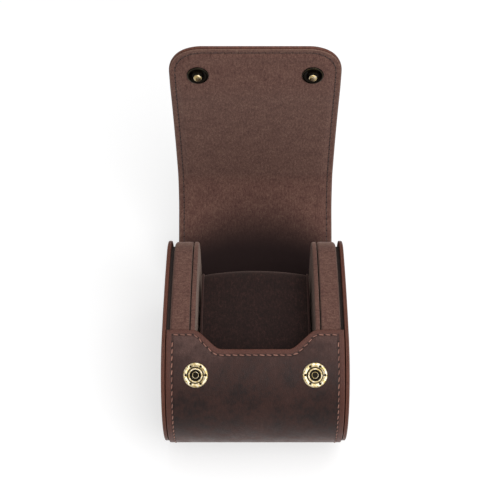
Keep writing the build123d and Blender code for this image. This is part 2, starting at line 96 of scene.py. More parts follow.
# %% The front panel's edge, the flap and the stitches
PANEL_EDGE_Y = -14.8
NOTCH_DEPTH = 9.53
NOTCH_TOP_HALF = 26.7
NOTCH_BOTTOM_HALF = 17.0
NOTCH_SOFTNESS = 2.2
ROOT_ANGLE = np.radians(34.0)
TOP_PANEL_ANGLE = np.radians(89.9)
FRONT_PANEL_ANGLE = np.radians(89.1)
SNAP_ANGLE = np.radians(126.4)
SNAP_X = 26.8
FOLD_TO_SNAP = 10.0
SNAP_TO_CURL = 6.2
TIP_CURL_RADIUS = 40.0
TIP_CURL = np.radians(15.0)
TIP_CORNER = 16.0
FOLD_TANGENT = 4.5
LAST_FOLD_TANGENT = 6.0
STITCH_INSET = 2.8
STITCH_PITCH = 3.1
print("stitches:", STITCH_PITCH, "apart,", STITCH_INSET, "in from the edge")

# %% Where each layer ends
PROUD = LEATHER - RIM_SEAT
STACK = SUEDE + BOARD + LEATHER / 2
HALF_LEATHER = LEATHER / 2
COVER_SEAM_X = CASE_WIDTH / 2 - COVER_LEATHER
COVER_INNER_X = COVER_SEAM_X - COVER_BACKING
WRAP_HALF = COVER_INNER_X - WRAP_EDGE_GAP
BAND_OUTER_X = COVER_INNER_X - SHADOW_GROOVE
BAND_INNER_X = BAND_OUTER_X - BAND_WIDTH
LIP_OUTER_X = BAND_INNER_X - LIP_GROOVE
LIP_INNER_X = LIP_OUTER_X - LIP_BOARD - SUEDE
LINING_HALF = LIP_INNER_X - LINING_GAP
SUEDE_HALF = WRAP_HALF - SUEDE_STEP
BOARD_HALF = WRAP_HALF - BOARD_STEP
print("wrap half width", round(WRAP_HALF, 2), "lining half width", round(LINING_HALF, 2))

# %% [markdown]
# ## The track
#
# Seen from the side, the leather is one line that goes round the case and up the flap. It
# could be a Bezier curve with a Curve modifier on each sheet, but then no hole or stitch would
# have an exact place. A chain of pieces of constant curvature gives a place for every length.
# Along a piece of curvature c that starts at heading h, the chord after a length u has heading
# h + c u / 2 and length u sin(c u / 2) / (c u / 2), which `np.sinc` gives without dividing by
# zero on a straight run.


# %% A curve of arcs and runs
class Track:
    """A plane curve of arcs and runs, followed by its length: each piece starts where the
    last one's chord ends, at the heading that it has turned to."""

    def __init__(self, start, heading, moves):
        """Each move is (length, curvature)."""
        self.lengths = np.array([length for length, _ in moves])
        self.curves = np.array([curve for _, curve in moves])
        self.starts = np.concatenate([[0.0], np.cumsum(self.lengths)[:-1]])
        turned = np.concatenate([[0.0], np.cumsum(self.lengths * self.curves)[:-1]])
        self.headings = heading + turned
        steps = self.chord(self.lengths, self.headings, self.curves)
        self.points = np.array(start) + np.concatenate([[[0.0, 0.0]], np.cumsum(steps, 0)[:-1]])
        self.total = float(self.lengths.sum())

    @staticmethod
    def chord(u, heading, curve):
        """The step of length u sinc(c u / 2 pi) in the direction h + c u / 2."""
        length = u * np.sinc(curve * u / (2 * np.pi))
        middle = heading + curve * u / 2
        return np.stack([length * np.cos(middle), length * np.sin(middle)], -1)

    def at(self, s):
        """The point and the heading at each length s. Past the ends the last piece goes on."""
        k = np.clip(np.searchsorted(self.starts, s, side="right") - 1, 0, len(self.starts) - 1)
        u = s - self.starts[k]
        point = self.points[k] + self.chord(u, self.headings[k], self.curves[k])
        return point, self.headings[k] + self.curves[k] * u

    def place(self, x, s, out):
        """Points (x, y, z) at length s, moved out along the right-hand normal (sin h, -cos h)."""
        point, heading = self.at(s)
        y = point[..., 0] + np.sin(heading) * out
        z = point[..., 1] - np.cos(heading) * out
        return np.stack(np.broadcast_arrays(x, y, z), -1)


quarter = Track((0, 0), 0, [(np.pi / 2, 1)])
print("a quarter circle of radius 1 ends at", np.round(quarter.at(np.pi / 2)[0], 3))

# %% [markdown]
# The leather's midline gives the sheets' track. The real flap bends along four creases, where
# nothing is cut: the leather only turns more sharply there. They could be looked for by eye in
# the frame, but its hinges lie on them, so they are read from the joints.


# %% The folds, and the arcs of the covers
hinges = {joint["name"]: joint for joint in frame["joints"]}


def hinge_point(name):
    """A hinge's place in the side view, in millimetres."""
    return np.array(hinges[name]["pos_m"][1:]) / MM


def heading_of(step):
    """The angle of a step (y, z) from the y axis."""
    return float(np.arctan2(step[1], step[0]))


FOLDS = [hinge_point(f"{name}_fold") for name in ("back", "corner", "top", "front")]
WRAP_MID = PROUD - HALF_LEATHER
CROWN_Z = PROUD + CASE_HEIGHT - CROWN_RADIUS
FRONT_CENTRE_Y = -CASE_DEPTH / 2 + FRONT_TOP_RADIUS
BACK_CENTRE_Y = CASE_DEPTH / 2 - BACK_TOP_RADIUS
FRONT_CENTRE_Z = CROWN_Z + np.sqrt((CROWN_RADIUS - FRONT_TOP_RADIUS) ** 2 - FRONT_CENTRE_Y**2)
BACK_CENTRE_Z = CROWN_Z + np.sqrt((CROWN_RADIUS - BACK_TOP_RADIUS) ** 2 - BACK_CENTRE_Y**2)
CROWN_END = np.arccos(FRONT_CENTRE_Y / (CROWN_RADIUS - FRONT_TOP_RADIUS))
CROWN_START = np.arccos(BACK_CENTRE_Y / (CROWN_RADIUS - BACK_TOP_RADIUS))
EDGE_ANGLE = np.arccos(PANEL_EDGE_Y / CROWN_RADIUS)
FRONT_BOTTOM_RADIUS = FRONT_CENTRE_Z - PROUD - FRONT_RUN
BASE_RUN = CASE_DEPTH - FRONT_BOTTOM_RADIUS - BACK_BOTTOM_RADIUS
print("folds at (y, z):", [np.round(fold, 1).tolist() for fold in FOLDS])


# %% The leather's midline
def arc(radius, turn):
    """The move of an arc: its length is radius times turn, and its curvature 1 / radius."""
    return radius * turn, 1 / radius


def sheet_track():
    """The leather's midline from the front panel's edge to the flap's tip, with the folds
    rounded, and the length at which each fold lies."""
    away = np.array([np.cos(EDGE_ANGLE), np.sin(EDGE_ANGLE)])
    start = np.array([0, CROWN_Z]) + away * (CROWN_RADIUS + WRAP_MID)
    moves = [
        arc(CROWN_RADIUS + WRAP_MID, CROWN_END - EDGE_ANGLE),
        arc(FRONT_TOP_RADIUS + WRAP_MID, np.pi - CROWN_END),
        (FRONT_RUN, 0.0),
        arc(FRONT_BOTTOM_RADIUS + WRAP_MID, np.pi / 2),
        (BASE_RUN, 0.0),
        arc(BACK_BOTTOM_RADIUS + WRAP_MID, ROOT_ANGLE),
    ]
    wrap = Track(start, EDGE_ANGLE + np.pi / 2, moves)
    leaves = wrap.at(np.array([wrap.total]))[0][0]
    root_run = float(np.linalg.norm(FOLDS[0] - leaves))
    back = FOLDS[1] - FOLDS[0]
    corner = FOLDS[2] - FOLDS[1]
    straight = np.linalg.norm(corner) / 2
    chord = FOLDS[3] - FOLDS[2] - straight * np.array(
        [np.cos(TOP_PANEL_ANGLE), np.sin(TOP_PANEL_ANGLE)]
    )
    half_turn = heading_of(chord) - TOP_PANEL_ANGLE
    top_radius = np.linalg.norm(chord) / (2 * np.sin(half_turn))
    top_end = TOP_PANEL_ANGLE + 2 * half_turn
    folds = [root_run, np.linalg.norm(back), np.linalg.norm(corner)]
    folds.append(straight + top_radius * 2 * half_turn)
    turn_2 = heading_of(corner) - heading_of(back)
    turn_3 = TOP_PANEL_ANGLE - heading_of(corner)
    cut = LAST_FOLD_TANGENT / top_radius
    turn_4 = FRONT_PANEL_ANGLE - top_end + cut
    moves += [
        (root_run + folds[1] - FOLD_TANGENT, 0.0),
        (2 * FOLD_TANGENT, turn_2 / (2 * FOLD_TANGENT)),
        (folds[2] - 2 * FOLD_TANGENT, 0.0),
        (2 * FOLD_TANGENT, turn_3 / (2 * FOLD_TANGENT)),
        (straight - FOLD_TANGENT, 0.0),
        (top_radius * 2 * half_turn - LAST_FOLD_TANGENT, 1 / top_radius),
        (2 * LAST_FOLD_TANGENT, turn_4 / (2 * LAST_FOLD_TANGENT)),
        (FOLD_TO_SNAP + SNAP_TO_CURL - LAST_FOLD_TANGENT, 0.0),
        arc(TIP_CURL_RADIUS, TIP_CURL),
    ]
    return Track(start, EDGE_ANGLE + np.pi / 2, moves), wrap.total + np.cumsum(folds)


track, FOLD_AT = sheet_track()
TIP_AT = track.total
print("folds at", np.round(FOLD_AT, 2), "tip at", round(TIP_AT, 2))

# %% Places along the track
MID_BACK = (FOLD_AT[0] + FOLD_AT[1]) / 2
MID_CORNER = (FOLD_AT[1] + FOLD_AT[2]) / 2
MID_TOP = (FOLD_AT[2] + FOLD_AT[3]) / 2
SNAP_AT = FOLD_AT[3] + FOLD_TO_SNAP
SOCKET_AT = (CROWN_RADIUS + WRAP_MID) * (CROWN_END - EDGE_ANGLE) + (
    FRONT_TOP_RADIUS + WRAP_MID
) * (SNAP_ANGLE - CROWN_END)
print("sockets at", round(float(SOCKET_AT), 2), "studs at", round(float(SNAP_AT), 2))

# %% [markdown]
# ## Meshes from arrays
#
# A piece could be a plane with Solidify and Bevel modifiers. Here its points and faces are
# arrays instead, so that a sheet's width, its cut edge and its patterns all follow the same
# (x, s), where s is the length along the track. Every piece carries two UV maps: `sheet` in
# millimetres, which the grain follows, and `edge`, which holds a share from 0 to 1 and the
# distance in millimetres to the cut edge. On suede the share is painted shade, and on leather
# it is a paling that is partly the wax's pull-up and partly painted highlight and reflection.


# %% One mesh from arrays
materials = {}


def to_scene(obj):
    """Puts an object into the scene."""
    bpy.context.scene.collection.objects.link(obj)


def sheet_map(points_in, faces_at, sheet_uv, flat):
    """The sheet map of each face's corners. `flat` is a second map and a mask of points:
    a face takes the second map where the mask is 1 at all its corners."""
    flat_uv, mask = flat
    sizes = np.diff(np.append(faces_at, len(points_in)))
    whole = np.repeat(np.minimum.reduceat(mask[points_in].astype(int), faces_at), sizes)
    return np.where(whole[:, None] > 0, flat_uv[points_in], sheet_uv[points_in])


def new_mesh(name, points, faces, sheet_uv, edge_uv, body=None, slot=None, sharp=None, flat=None):
    """A piece from points, a list of face index arrays and two per-point UV arrays."""
    mesh = bpy.data.meshes.new(name)
    loops = [face for group in faces for face in np.asarray(group).tolist()]
    mesh.from_pydata((points * MM).tolist(), [], loops)
    index = np.zeros(len(mesh.loops), np.int32)
    mesh.loops.foreach_get("vertex_index", index)
    maps = {"sheet": sheet_uv[index], "edge": edge_uv[index]}
    if flat:
        start = np.zeros(len(mesh.polygons), np.int32)
        mesh.polygons.foreach_get("loop_start", start)
        maps["sheet"] = sheet_map(index, start, sheet_uv, flat)
    for title, values in maps.items():
        layer = mesh.uv_layers.new(name=title)
        layer.uv.foreach_set("vector", values.astype(np.float32).ravel())
    mesh.polygons.foreach_set("use_smooth", np.ones(len(mesh.polygons), bool))
    if sharp:
        mesh.set_sharp_from_angle(angle=np.radians(sharp))
    mesh.update()
    piece = bpy.data.objects.new(name, mesh)
    to_scene(piece)
    if slot:
        mesh.materials.append(materials[slot])
    if body:
        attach(piece, body)
    return piece


print("a piece's maps: sheet and edge")


# %% Faces between rows of points
def grid_faces(rows, columns, first=0, closed=False, ring=False):
    """Quads between neighbouring rows of a grid, joined round the columns if closed, and from
    the last row back to the first if it is a ring."""
    i = np.arange(rows if ring else rows - 1)[:, None] * columns
    j = np.arange(columns if closed else columns - 1)[None]
    k = (j + 1) % columns
    below = (i + columns) % (rows * columns)
    return np.stack([i + j, i + k, below + k, below + j], -1).reshape(-1, 4) + first


def fan_faces(pole, loop):
    """Triangles from a pole to a closed loop of points."""
    return np.stack([np.full(len(loop), pole), np.roll(loop, -1), loop], -1)


def border_faces(rows, columns):
    """Quads between the borders of two grids, the second stored after the first."""
    top = np.arange(columns)
    right = np.arange(1, rows) * columns + columns - 1
    bottom = (rows - 1) * columns + np.arange(columns - 1)[::-1]
    left = np.arange(1, rows - 1)[::-1] * columns
    loop = np.concatenate([top, right, bottom, left])
    after = np.roll(loop, -1)
    size = rows * columns
    return np.stack([loop, loop + size, after + size, after], -1)


print("a grid of 3 x 4 points has", len(grid_faces(3, 4)), "faces")

# %% [markdown]
# A cut leather edge is never a knife's corner: it is burnished, and it ends round. A Bevel
# modifier would round it too, but it would also cut into the seams. So a sheet's two faces,
# which lie at `high` and `low` from the track, are both drawn back towards each other near the
# edge. The columns crowd there, so that the round is smooth and the middle stays light.


# %% A sheet with a rounded cut edge
FINE_COLUMNS = (0.0, 0.12, 0.35, 0.8, 1.5, 2.4, 3.2, 4.2, 5.4)
ROW_STEP = 1.2
SHEET_SHARP = 50


def rounded_back(distance, radius):
    """How far a face draws back at a distance d from the edge: r - sqrt(r^2 - (r - d)^2)."""
    inside = np.clip(radius - distance, 0, radius)
    return radius - np.sqrt(np.maximum(radius**2 - inside**2, 0))


def across(half):
    """Columns from -half to half, close together near the edges and about 2 mm apart inside."""
    inset = np.array(FINE_COLUMNS)
    inner = np.linspace(-half + inset[-1], half - inset[-1], int(half) + 1)
    return np.concatenate([-half + inset[:-1], inner, (half - inset[:-1])[::-1]])


def along(low, high):
    """Evenly spaced lengths from low to high."""
    return np.linspace(low, high, max(2, int(np.ceil((high - low) / ROW_STEP)) + 1))


def slab(name, grid, low, high, edge_radius, dark=0.0, **how):
    """A closed sheet, whose faces lie at high - b and low + b, with b what the edge's round
    draws back. The grid is (x, s, distance to the cut edge), and low, high and dark are
    numbers or grids."""
    x, s, distance = grid
    back = rounded_back(distance, edge_radius)
    faces_at = [high - back, low + back]
    points = np.concatenate([track.place(x, s, out).reshape(-1, 3) for out in faces_at])
    rows, columns = x.shape
    faces = [
        grid_faces(rows, columns)[:, ::-1],
        grid_faces(rows, columns, rows * columns),
        border_faces(rows, columns),
    ]
    sheet = np.tile(np.stack([x, s], -1).reshape(-1, 2), (2, 1))
    # The edge map's share: painted shade on suede, and on leather a paling that is partly pull-up
    # and partly painted highlight and reflection.
    dark = np.broadcast_to(dark, x.shape).ravel()
    edge = np.tile(np.stack([dark, distance.ravel()], -1), (2, 1))
    return new_mesh(name, points, faces, sheet, edge, sharp=SHEET_SHARP, **how)


print("columns across the leather:", len(across(WRAP_HALF)))

# %% [markdown]
# The front panel rises in two tabs that carry the snap sockets, and its edge dips between
# them, so that fingers reach the pillow. The dip could be cut by a boolean, but that leaves
# long thin faces along a curved sheet. Here the panel's first row of points follows the dip,
# and the next rows ease out of it. The dip is a ramp with rounded corners, made from the soft
# ramp r(t), which is 0 below -w, t above w, and (t + w)^2 / 4w between.


# %% The front panel's edge
SLOPE_STEP = 0.05


def soft_ramp(t):
    """The rounded ramp r(t), with w the notch's softness."""
    w = NOTCH_SOFTNESS
    return np.where(t < -w, 0.0, np.where(t > w, t, (t + w) ** 2 / (4 * w)))


def dip(x):
    """The length at which the front panel starts, at each x: the rise of a slope between the
    notch's two half widths, from the difference of two soft ramps."""
    rise = NOTCH_DEPTH / (NOTCH_TOP_HALF - NOTCH_BOTTOM_HALF)
    return rise * (
        soft_ramp(NOTCH_TOP_HALF - np.abs(x)) - soft_ramp(NOTCH_BOTTOM_HALF - np.abs(x))
    )


def front_edge(x):
    """The length at which the front panel starts, and the slope of that edge."""
    return dip(x), (dip(x + SLOPE_STEP) - dip(x - SLOPE_STEP)) / (2 * SLOPE_STEP)


print("the dip is", round(float(dip(0.0)), 2), "mm deep")

# %% The grids of the three kinds of sheet
DIP_REACH = 28.5
DIP_COLUMNS = 58
LEAST_COLUMN = 0.1
MERGE_AT = 14.0
MERGE_ROWS = 9
FRONT_ROWS = (0, 0.12, 0.35, 0.8, 1.5, 2.4, 3.4)
NEXT_ROW = 4.4
TIP_ROWS = 17


def front_grid(half, end):
    """The grid of a sheet from the front panel's edge to a length. A row at the share q of
    the merge lies at begin + q (merge - begin), so the rows go from the dip to straight."""
    x = np.unique(np.concatenate([across(half), np.linspace(-DIP_REACH, DIP_REACH, DIP_COLUMNS)]))
    x = x[np.concatenate([[True], np.diff(x) > LEAST_COLUMN])]
    begin, slope = front_edge(x)
    share = np.concatenate([FRONT_ROWS, np.linspace(NEXT_ROW, MERGE_AT, MERGE_ROWS)]) / MERGE_AT
    head = begin + share[:, None] * (MERGE_AT - begin)
    tail = np.repeat(along(MERGE_AT, end)[1:, None], len(x), 1)
    s = np.concatenate([head, tail])
    x = np.repeat(x[None, :], len(s), 0)
    to_front = (s - begin) / np.sqrt(1 + slope**2)
    return x, s, np.minimum(half - np.abs(x), to_front)


def plain_grid(half, start, end):
    """The grid of a stretch of sheet between two lengths, cut only at its sides."""
    x, s = np.meshgrid(across(half), along(start, end))
    return x, s, half - np.abs(x)


def tip_grid(half, start, inset):
    """The grid of the flap's last stretch. A row that is p past the start of the corner's
    arc of radius r reaches to half - r + sqrt(r^2 - p^2)."""
    end = TIP_AT - inset
    radius = TIP_CORNER - inset
    turn = np.linspace(0, np.pi / 2, TIP_ROWS)
    s = np.concatenate([along(start, end - radius)[:-1], end - radius + radius * np.sin(turn)])
    past = np.clip(s - (end - radius), 0, radius)
    reach = half - radius + np.sqrt(radius**2 - past**2)
    share = across(half) / half
    x = reach[:, None] * share[None, :]
    s = np.repeat(s[:, None], len(share), 1)
    beside = np.maximum(np.abs(x) - (half - radius), 0)
    corner = radius - np.hypot(beside, past[:, None])
    distance = np.where(past[:, None] > 0, corner, half - np.abs(x))
    return x, s, np.clip(distance, 0, None)


print("rows in the flap's last stretch:", len(tip_grid(WRAP_HALF, MID_TOP, 0.0)[0]))

# %% [markdown]
# ## Materials
#
# Dyed, brushed and worn surfaces share some effects: patches of tone, a grain, and a margin
# along a cut edge. Each could be built again in every material. Here each is one node group
# that gives out only values, so that a change reaches every finish that uses it. Patterns
# read coordinates in millimetres, so their scales are real sizes.


# %% Helpers for nodes and maths
def join(tree, node, inputs):
    """Sets each input of a node to a value, or links it from a socket."""
    for key, value in inputs.items():
        if isinstance(value, bpy.types.NodeSocket):
            tree.links.new(value, node.inputs[key])
        else:
            node.inputs[key].default_value = value


def add(tree, kind, inputs, **settings):
    """A node with its settings and its inputs."""
    node = tree.nodes.new(kind)
    for name, value in settings.items():
        setattr(node, name, value)
    join(tree, node, inputs)
    return node


def maths(tree, operation, *values):
    """A maths node's result."""
    return add(tree, "ShaderNodeMath", dict(enumerate(values)), operation=operation).outputs[0]


def weigh(tree, value, share, rest=0.0):
    """value * share + rest."""
    return maths(tree, "MULTIPLY_ADD", value, share, rest)


def stretch(tree, vector, factors):
    """A vector times a factor along each axis."""
    inputs = {0: vector, 1: factors}
    return add(tree, "ShaderNodeVectorMath", inputs, operation="MULTIPLY").outputs[0]


def ramp_value(tree, value, low, high, start=0.0, end=1.0):
    """A smooth step of a value between low and high, mapped to start and end."""
    inputs = {"Value": value, "From Min": low, "From Max": high, "To Min": start, "To Max": end}
    node = add(tree, "ShaderNodeMapRange", inputs, interpolation_type="SMOOTHSTEP")
    return node.outputs["Result"]


print("maths on sockets: weigh, stretch and ramp_value")


# %% Helpers for colours, noise and groups
def paint(tree, colour, *coats):
    """A colour with coats laid over it in turn. Each coat is (share, colour)."""
    for share, coat in coats:
        inputs = {0: share, 6: colour, 7: coat}
        colour = add(tree, "ShaderNodeMix", inputs, data_type="RGBA").outputs[2]
    return colour


def noise(tree, vector, scale, detail=4.0, roughness=0.55, distortion=0.0):
    """A noise texture's value at a scale per millimetre."""
    inputs = {"Vector": vector, "Scale": scale, "Detail": detail}
    inputs.update({"Roughness": roughness, "Distortion": distortion})
    return add(tree, "ShaderNodeTexNoise", inputs).outputs["Fac"]


def group(name, inputs, outputs):
    """An empty shader group with float or vector inputs and float outputs, the values that
    come in, and the node that takes what goes out."""
    tree = bpy.data.node_groups.new(name, "ShaderNodeTree")
    for title, kind in inputs:
        tree.interface.new_socket(title, in_out="INPUT", socket_type=f"NodeSocket{kind}")
    for title in outputs:
        tree.interface.new_socket(title, in_out="OUTPUT", socket_type="NodeSocketFloat")
    inside = tree.nodes.new("NodeGroupInput").outputs
    return tree, inside, tree.nodes.new("NodeGroupOutput")


print("helpers for finishes: paint, noise and group")

# %% [markdown]
# Dye never takes evenly, and hands and brushes leave patches. They could be painted by hand on
# a picture, but noise at three sizes gives the same look at every distance without a picture.


# %% Mottle: patches at three sizes
MOTTLE = {"Large": (0.035, 3.0), "Middle": (0.16, 5.0), "Fine": (0.9, 4.0)}


def mottle_group():
    """Patches at three sizes, each a smooth step of noise from 0.3 to 0.7."""
    tree, inside, out = group("mottle", [("Position", "Vector")], MOTTLE)
    for title, (scale, detail) in MOTTLE.items():
        value = noise(tree, inside["Position"], scale, detail)
        join(tree, out, {title: ramp_value(tree, value, 0.3, 0.7)})
    return tree


GROUPS = {"mottle": mottle_group()}
print("mottle:", ", ".join(MOTTLE))

# %% [markdown]
# The grain of leather is small raised cells with creases between them, and finer pores. The
# distance to the border of a Voronoi cell is zero all along the creases, so a smooth step of it
# draws them. Noise bends the cells first, because straight-sided ones would look like tiles.


# %% Grain: cells, creases and pores
CELLS_PER_MM = 1.25
CREASE_WIDTH = 0.16
CREASE_DEPTH = -0.6


def grain_group():
    """Height is pores minus 0.6 of the creases. A crease is 1 on a cell's border and falls by
    a smooth step to 0 at the crease's width."""
    tree, inside, out = group("grain", [("Position", "Vector")], ("Height", "Creases"))
    place = inside["Position"]
    warp = add(tree, "ShaderNodeTexNoise", {"Vector": place, "Scale": 0.8}).outputs["Color"]
    bent = {0: warp, 1: (0.9, 0.9, 0.9), 2: place}
    bent = add(tree, "ShaderNodeVectorMath", bent, operation="MULTIPLY_ADD").outputs[0]
    cells = {"Vector": bent, "Scale": CELLS_PER_MM}
    cells = add(tree, "ShaderNodeTexVoronoi", cells, feature="DISTANCE_TO_EDGE")
    crease = ramp_value(tree, cells.outputs["Distance"], 0.0, CREASE_WIDTH, 1.0, 0.0)
    pores = noise(tree, place, 4.0, 2.0)
    join(tree, out, {"Height": weigh(tree, crease, CREASE_DEPTH, pores), "Creases": crease})
    return tree


GROUPS["grain"] = grain_group()
print("grain:", CELLS_PER_MM, "cells to a millimetre")

# %% [markdown]
# Hand work shows in the margin: the edge itself is rubbed, the strip outside the stitches keeps
# its dye, and a creased groove runs under the thread. These could be three painted masks. The
# `edge` map already holds the distance to the cut edge, so three ramps of it are enough.


# %% Margin: rim, border and groove
def margin_group():
    """Rim is 1 at the cut edge, Border is 1 outside the stitches, and Groove is 1 on the
    stitches' line. Wobble moves the first two by up to half a millimetre."""
    inputs = [("Edge", "Vector"), ("Wobble", "Float")]
    tree, inside, out = group("margin", inputs, ("Rim", "Border", "Groove"))
    to_edge = add(tree, "ShaderNodeSeparateXYZ", {0: inside["Edge"]}).outputs["Y"]
    moved = weigh(tree, inside["Wobble"], 0.5, to_edge)
    off_line = maths(tree, "ABSOLUTE", maths(tree, "SUBTRACT", to_edge, STITCH_INSET))
    masks = {
        "Rim": ramp_value(tree, moved, 0.2, 0.75, 1.0, 0.0),
        "Border": ramp_value(tree, moved, 2.1, 3.6, 1.0, 0.0),
        "Groove": ramp_value(tree, off_line, 0.25, 0.85, 1.0, 0.0),
    }
    join(tree, out, masks)
    return tree


GROUPS["margin"] = margin_group()
print("margin: the groove lies", STITCH_INSET, "mm in")

# %% [markdown]
# A material takes the groups it needs, works out a colour, a roughness and a normal from them,
# and gives these to one Principled BSDF, which every finish of this case can be made with.


# %% Helpers for materials
def use_group(tree, name, inputs):
    """A shared group's outputs in a material."""
    return add(tree, "ShaderNodeGroup", inputs, node_tree=GROUPS[name]).outputs


def new_material(name):
    """A new material's tree and its Principled node."""
    material = bpy.data.materials.new(name)
    material.use_nodes = True
    materials[name] = material
    return material.node_tree, material.node_tree.nodes["Principled BSDF"]


def uv(tree, name, axis=None):
    """The vector of one UV map, or its value along one axis."""
    vector = add(tree, "ShaderNodeUVMap", {}, uv_map=name).outputs["UV"]
    if axis is None:
        return vector
    return add(tree, "ShaderNodeSeparateXYZ", {0: vector}).outputs[axis]


def object_mm(tree):
    """Object coordinates in millimetres."""
    place = tree.nodes.new("ShaderNodeTexCoord").outputs["Object"]
    inputs = {0: place, "Scale": 1 / MM}
    return add(tree, "ShaderNodeVectorMath", inputs, operation="SCALE").outputs[0]


def bump(tree, height, strength, distance):
    """A bump of a height, whose full depth is a distance in millimetres."""
    inputs = {"Height": height, "Strength": strength, "Distance": distance * MM}
    return add(tree, "ShaderNodeBump", inputs).outputs[0]


def shade(tree, principled, colour, roughness, **more):
    """Gives what a material worked out to its Principled node."""
    join(tree, principled, {"Base Color": colour, "Roughness": roughness, **more})


print("groups:", ", ".join(GROUPS))

# %% [markdown]
# ## Leather
#
# This is a pull-up leather, stuffed with wax and oil: dark and cloudy, paler where it is bent
# or handled, because the wax draws back there, and redder in the margin and on the cut edge.
# The front panel's tabs and its round into the base are paler too, which is painted highlight
# and painted reflection of the table, and the stitch groove is darkened as painted shade. One
# brown with a bump would look like plastic. So the clouds and streaks make a tone first, the
# paling raises it, and then the colours are laid over each other by that tone.

# %% Leather
LEATHER_DARK = (0.0085, 0.0027, 0.0020, 1)
LEATHER_MID = (0.0330, 0.0118, 0.0085, 1)
LEATHER_PALE = (0.108, 0.058, 0.049, 1)
LEATHER_RED = (0.116, 0.040, 0.027, 1)
LEATHER_RIM = (0.140, 0.052, 0.034, 1)
GROOVE_DEPTH = -2.0


def leather():
    """The tone is 0.8 streaks + 0.22 large + 0.2 middle patches + 0.55 of the edge map's paling,
    and each colour is laid over the last by a smooth step of the tone or by a mask."""
    tree, principled = new_material("saddle_leather")
    sheet = uv(tree, "sheet")
    patches = use_group(tree, "mottle", {"Position": sheet})
    grain = use_group(tree, "grain", {"Position": sheet})
    margin = use_group(tree, "margin", {"Edge": uv(tree, "edge"), "Wobble": patches["Fine"]})
    clouds = weigh(tree, patches["Large"], 0.22, weigh(tree, patches["Middle"], 0.20))
    streaks = noise(tree, stretch(tree, sheet, (1.0, 0.4, 1.0)), 0.8, 8.0, 0.85)
    tone = weigh(tree, streaks, 0.80, clouds)
    # The edge map's paling: pull-up at the folds, painted highlight on the tabs, painted
    # reflection of the table where the front panel rounds into the base, and a paler tone on the
    # covers.
    tone = weigh(tree, uv(tree, "edge", "X"), 0.55, tone)
    colour = paint(
        tree,
        LEATHER_DARK,
        (ramp_value(tree, tone, 0.47, 0.83), LEATHER_MID),
        (weigh(tree, ramp_value(tree, tone, 0.77, 1.27), 0.9), LEATHER_PALE),
        (weigh(tree, margin["Border"], 0.62), LEATHER_RED),
        # Painted shade darkens the stitch groove.
        (weigh(tree, margin["Groove"], 0.45), LEATHER_DARK),
        (weigh(tree, margin["Rim"], 0.8), LEATHER_RIM),
        (weigh(tree, grain["Creases"], 0.32), LEATHER_DARK),
    )
    roughness = ramp_value(tree, patches["Middle"], 0.0, 1.0, 0.36, 0.50)
    height = weigh(tree, margin["Groove"], GROOVE_DEPTH, grain["Height"])
    wax = {"Normal": bump(tree, height, 0.55, 0.10), "Specular IOR Level": 0.18}
    shade(tree, principled, colour, roughness, **wax)


leather()
print("leather:", len(materials["saddle_leather"].node_tree.nodes), "nodes")

# %% [markdown]
# ## Suede
#
# Suede is leather's flesh side, brushed to a nap. Where the nap lies one way it is light, and
# where it lies the other way it is dark. Hair could be grown on it, but the nap is far shorter
# than a millimetre, so strokes of tone, a soft bump and a little sheen give its look. Where
# little light reaches, behind the pillow, in the cavity and on the lips' inner faces, painted
# shade darkens it.

# %% Suede
SUEDE_DARK = (0.058, 0.024, 0.020, 1)
SUEDE_MID = (0.130, 0.062, 0.048, 1)
SUEDE_PALE = (0.235, 0.140, 0.100, 1)
# The colour that painted shade takes the suede towards.
SUEDE_SHADE = (0.0130, 0.0050, 0.0048, 1)
SUEDE_TINT = (0.8, 0.6, 0.5, 1)
# The pillow's suede is dark, and its colours are darker still as painted shade, for the deep
# cavity it sits in.
PILLOW_DARK = (0.0065, 0.0030, 0.0026, 1)
PILLOW_MID = (0.0175, 0.0072, 0.0060, 1)
PILLOW_TINT = (0.5, 0.35, 0.3, 1)


def suede(name, dark, middle, pale, tint):
    """The tone is 0.86 strokes + 0.06 middle patches. Fine nap darkens it again, the rim is
    rubbed pale, and the edge map's first value takes it towards the shade."""
    tree, principled = new_material(name)
    sheet = uv(tree, "sheet")
    patches = use_group(tree, "mottle", {"Position": sheet})
    margin = use_group(tree, "margin", {"Edge": uv(tree, "edge"), "Wobble": patches["Fine"]})
    strokes = noise(tree, stretch(tree, sheet, (1.0, 0.45, 1.0)), 1.0, 8.0, 0.82, 0.2)
    nap = noise(tree, sheet, 1.5, 4.0, 0.8)
    tone = weigh(tree, strokes, 0.86, weigh(tree, patches["Middle"], 0.06))
    colour = paint(
        tree,
        dark,
        (ramp_value(tree, tone, 0.30, 0.50), middle),
        (ramp_value(tree, tone, 0.44, 0.66, 0.0, 0.8), pale),
        (ramp_value(tree, nap, 0.36, 0.56, 0.62, 0.0), dark),
        (weigh(tree, margin["Rim"], 0.45), pale),
        # The edge map's share lays painted shade over the suede.
        (uv(tree, "edge", "X"), SUEDE_SHADE),
    )
    normal = bump(tree, weigh(tree, strokes, 1.2, nap), 0.7, 0.12)
    sheen = {"Sheen Weight": 0.35, "Sheen Roughness": 0.45, "Sheen Tint": tint}
    sheen["Specular IOR Level"] = 0.25
    shade(tree, principled, colour, 0.92, Normal=normal, **sheen)


suede("suede", SUEDE_DARK, SUEDE_MID, SUEDE_PALE, SUEDE_TINT)
suede("pillow_suede", PILLOW_DARK, PILLOW_MID, SUEDE_DARK, PILLOW_TINT)
print("suedes:", [name for name in materials if "suede" in name])

# %% [markdown]
# ## Thread and its holes
#
# The thread is waxed and twisted, and an awl has made a hole at each of its ends. Twisted
# strands could be modelled, but a stitch is half a millimetre wide and there are hundreds. So a
# sine along and around each tube gives the twist, with painted shade in its grooves, and
# painted shade darkens the ends towards the holes. Each hole is a dark disc of painted shade.

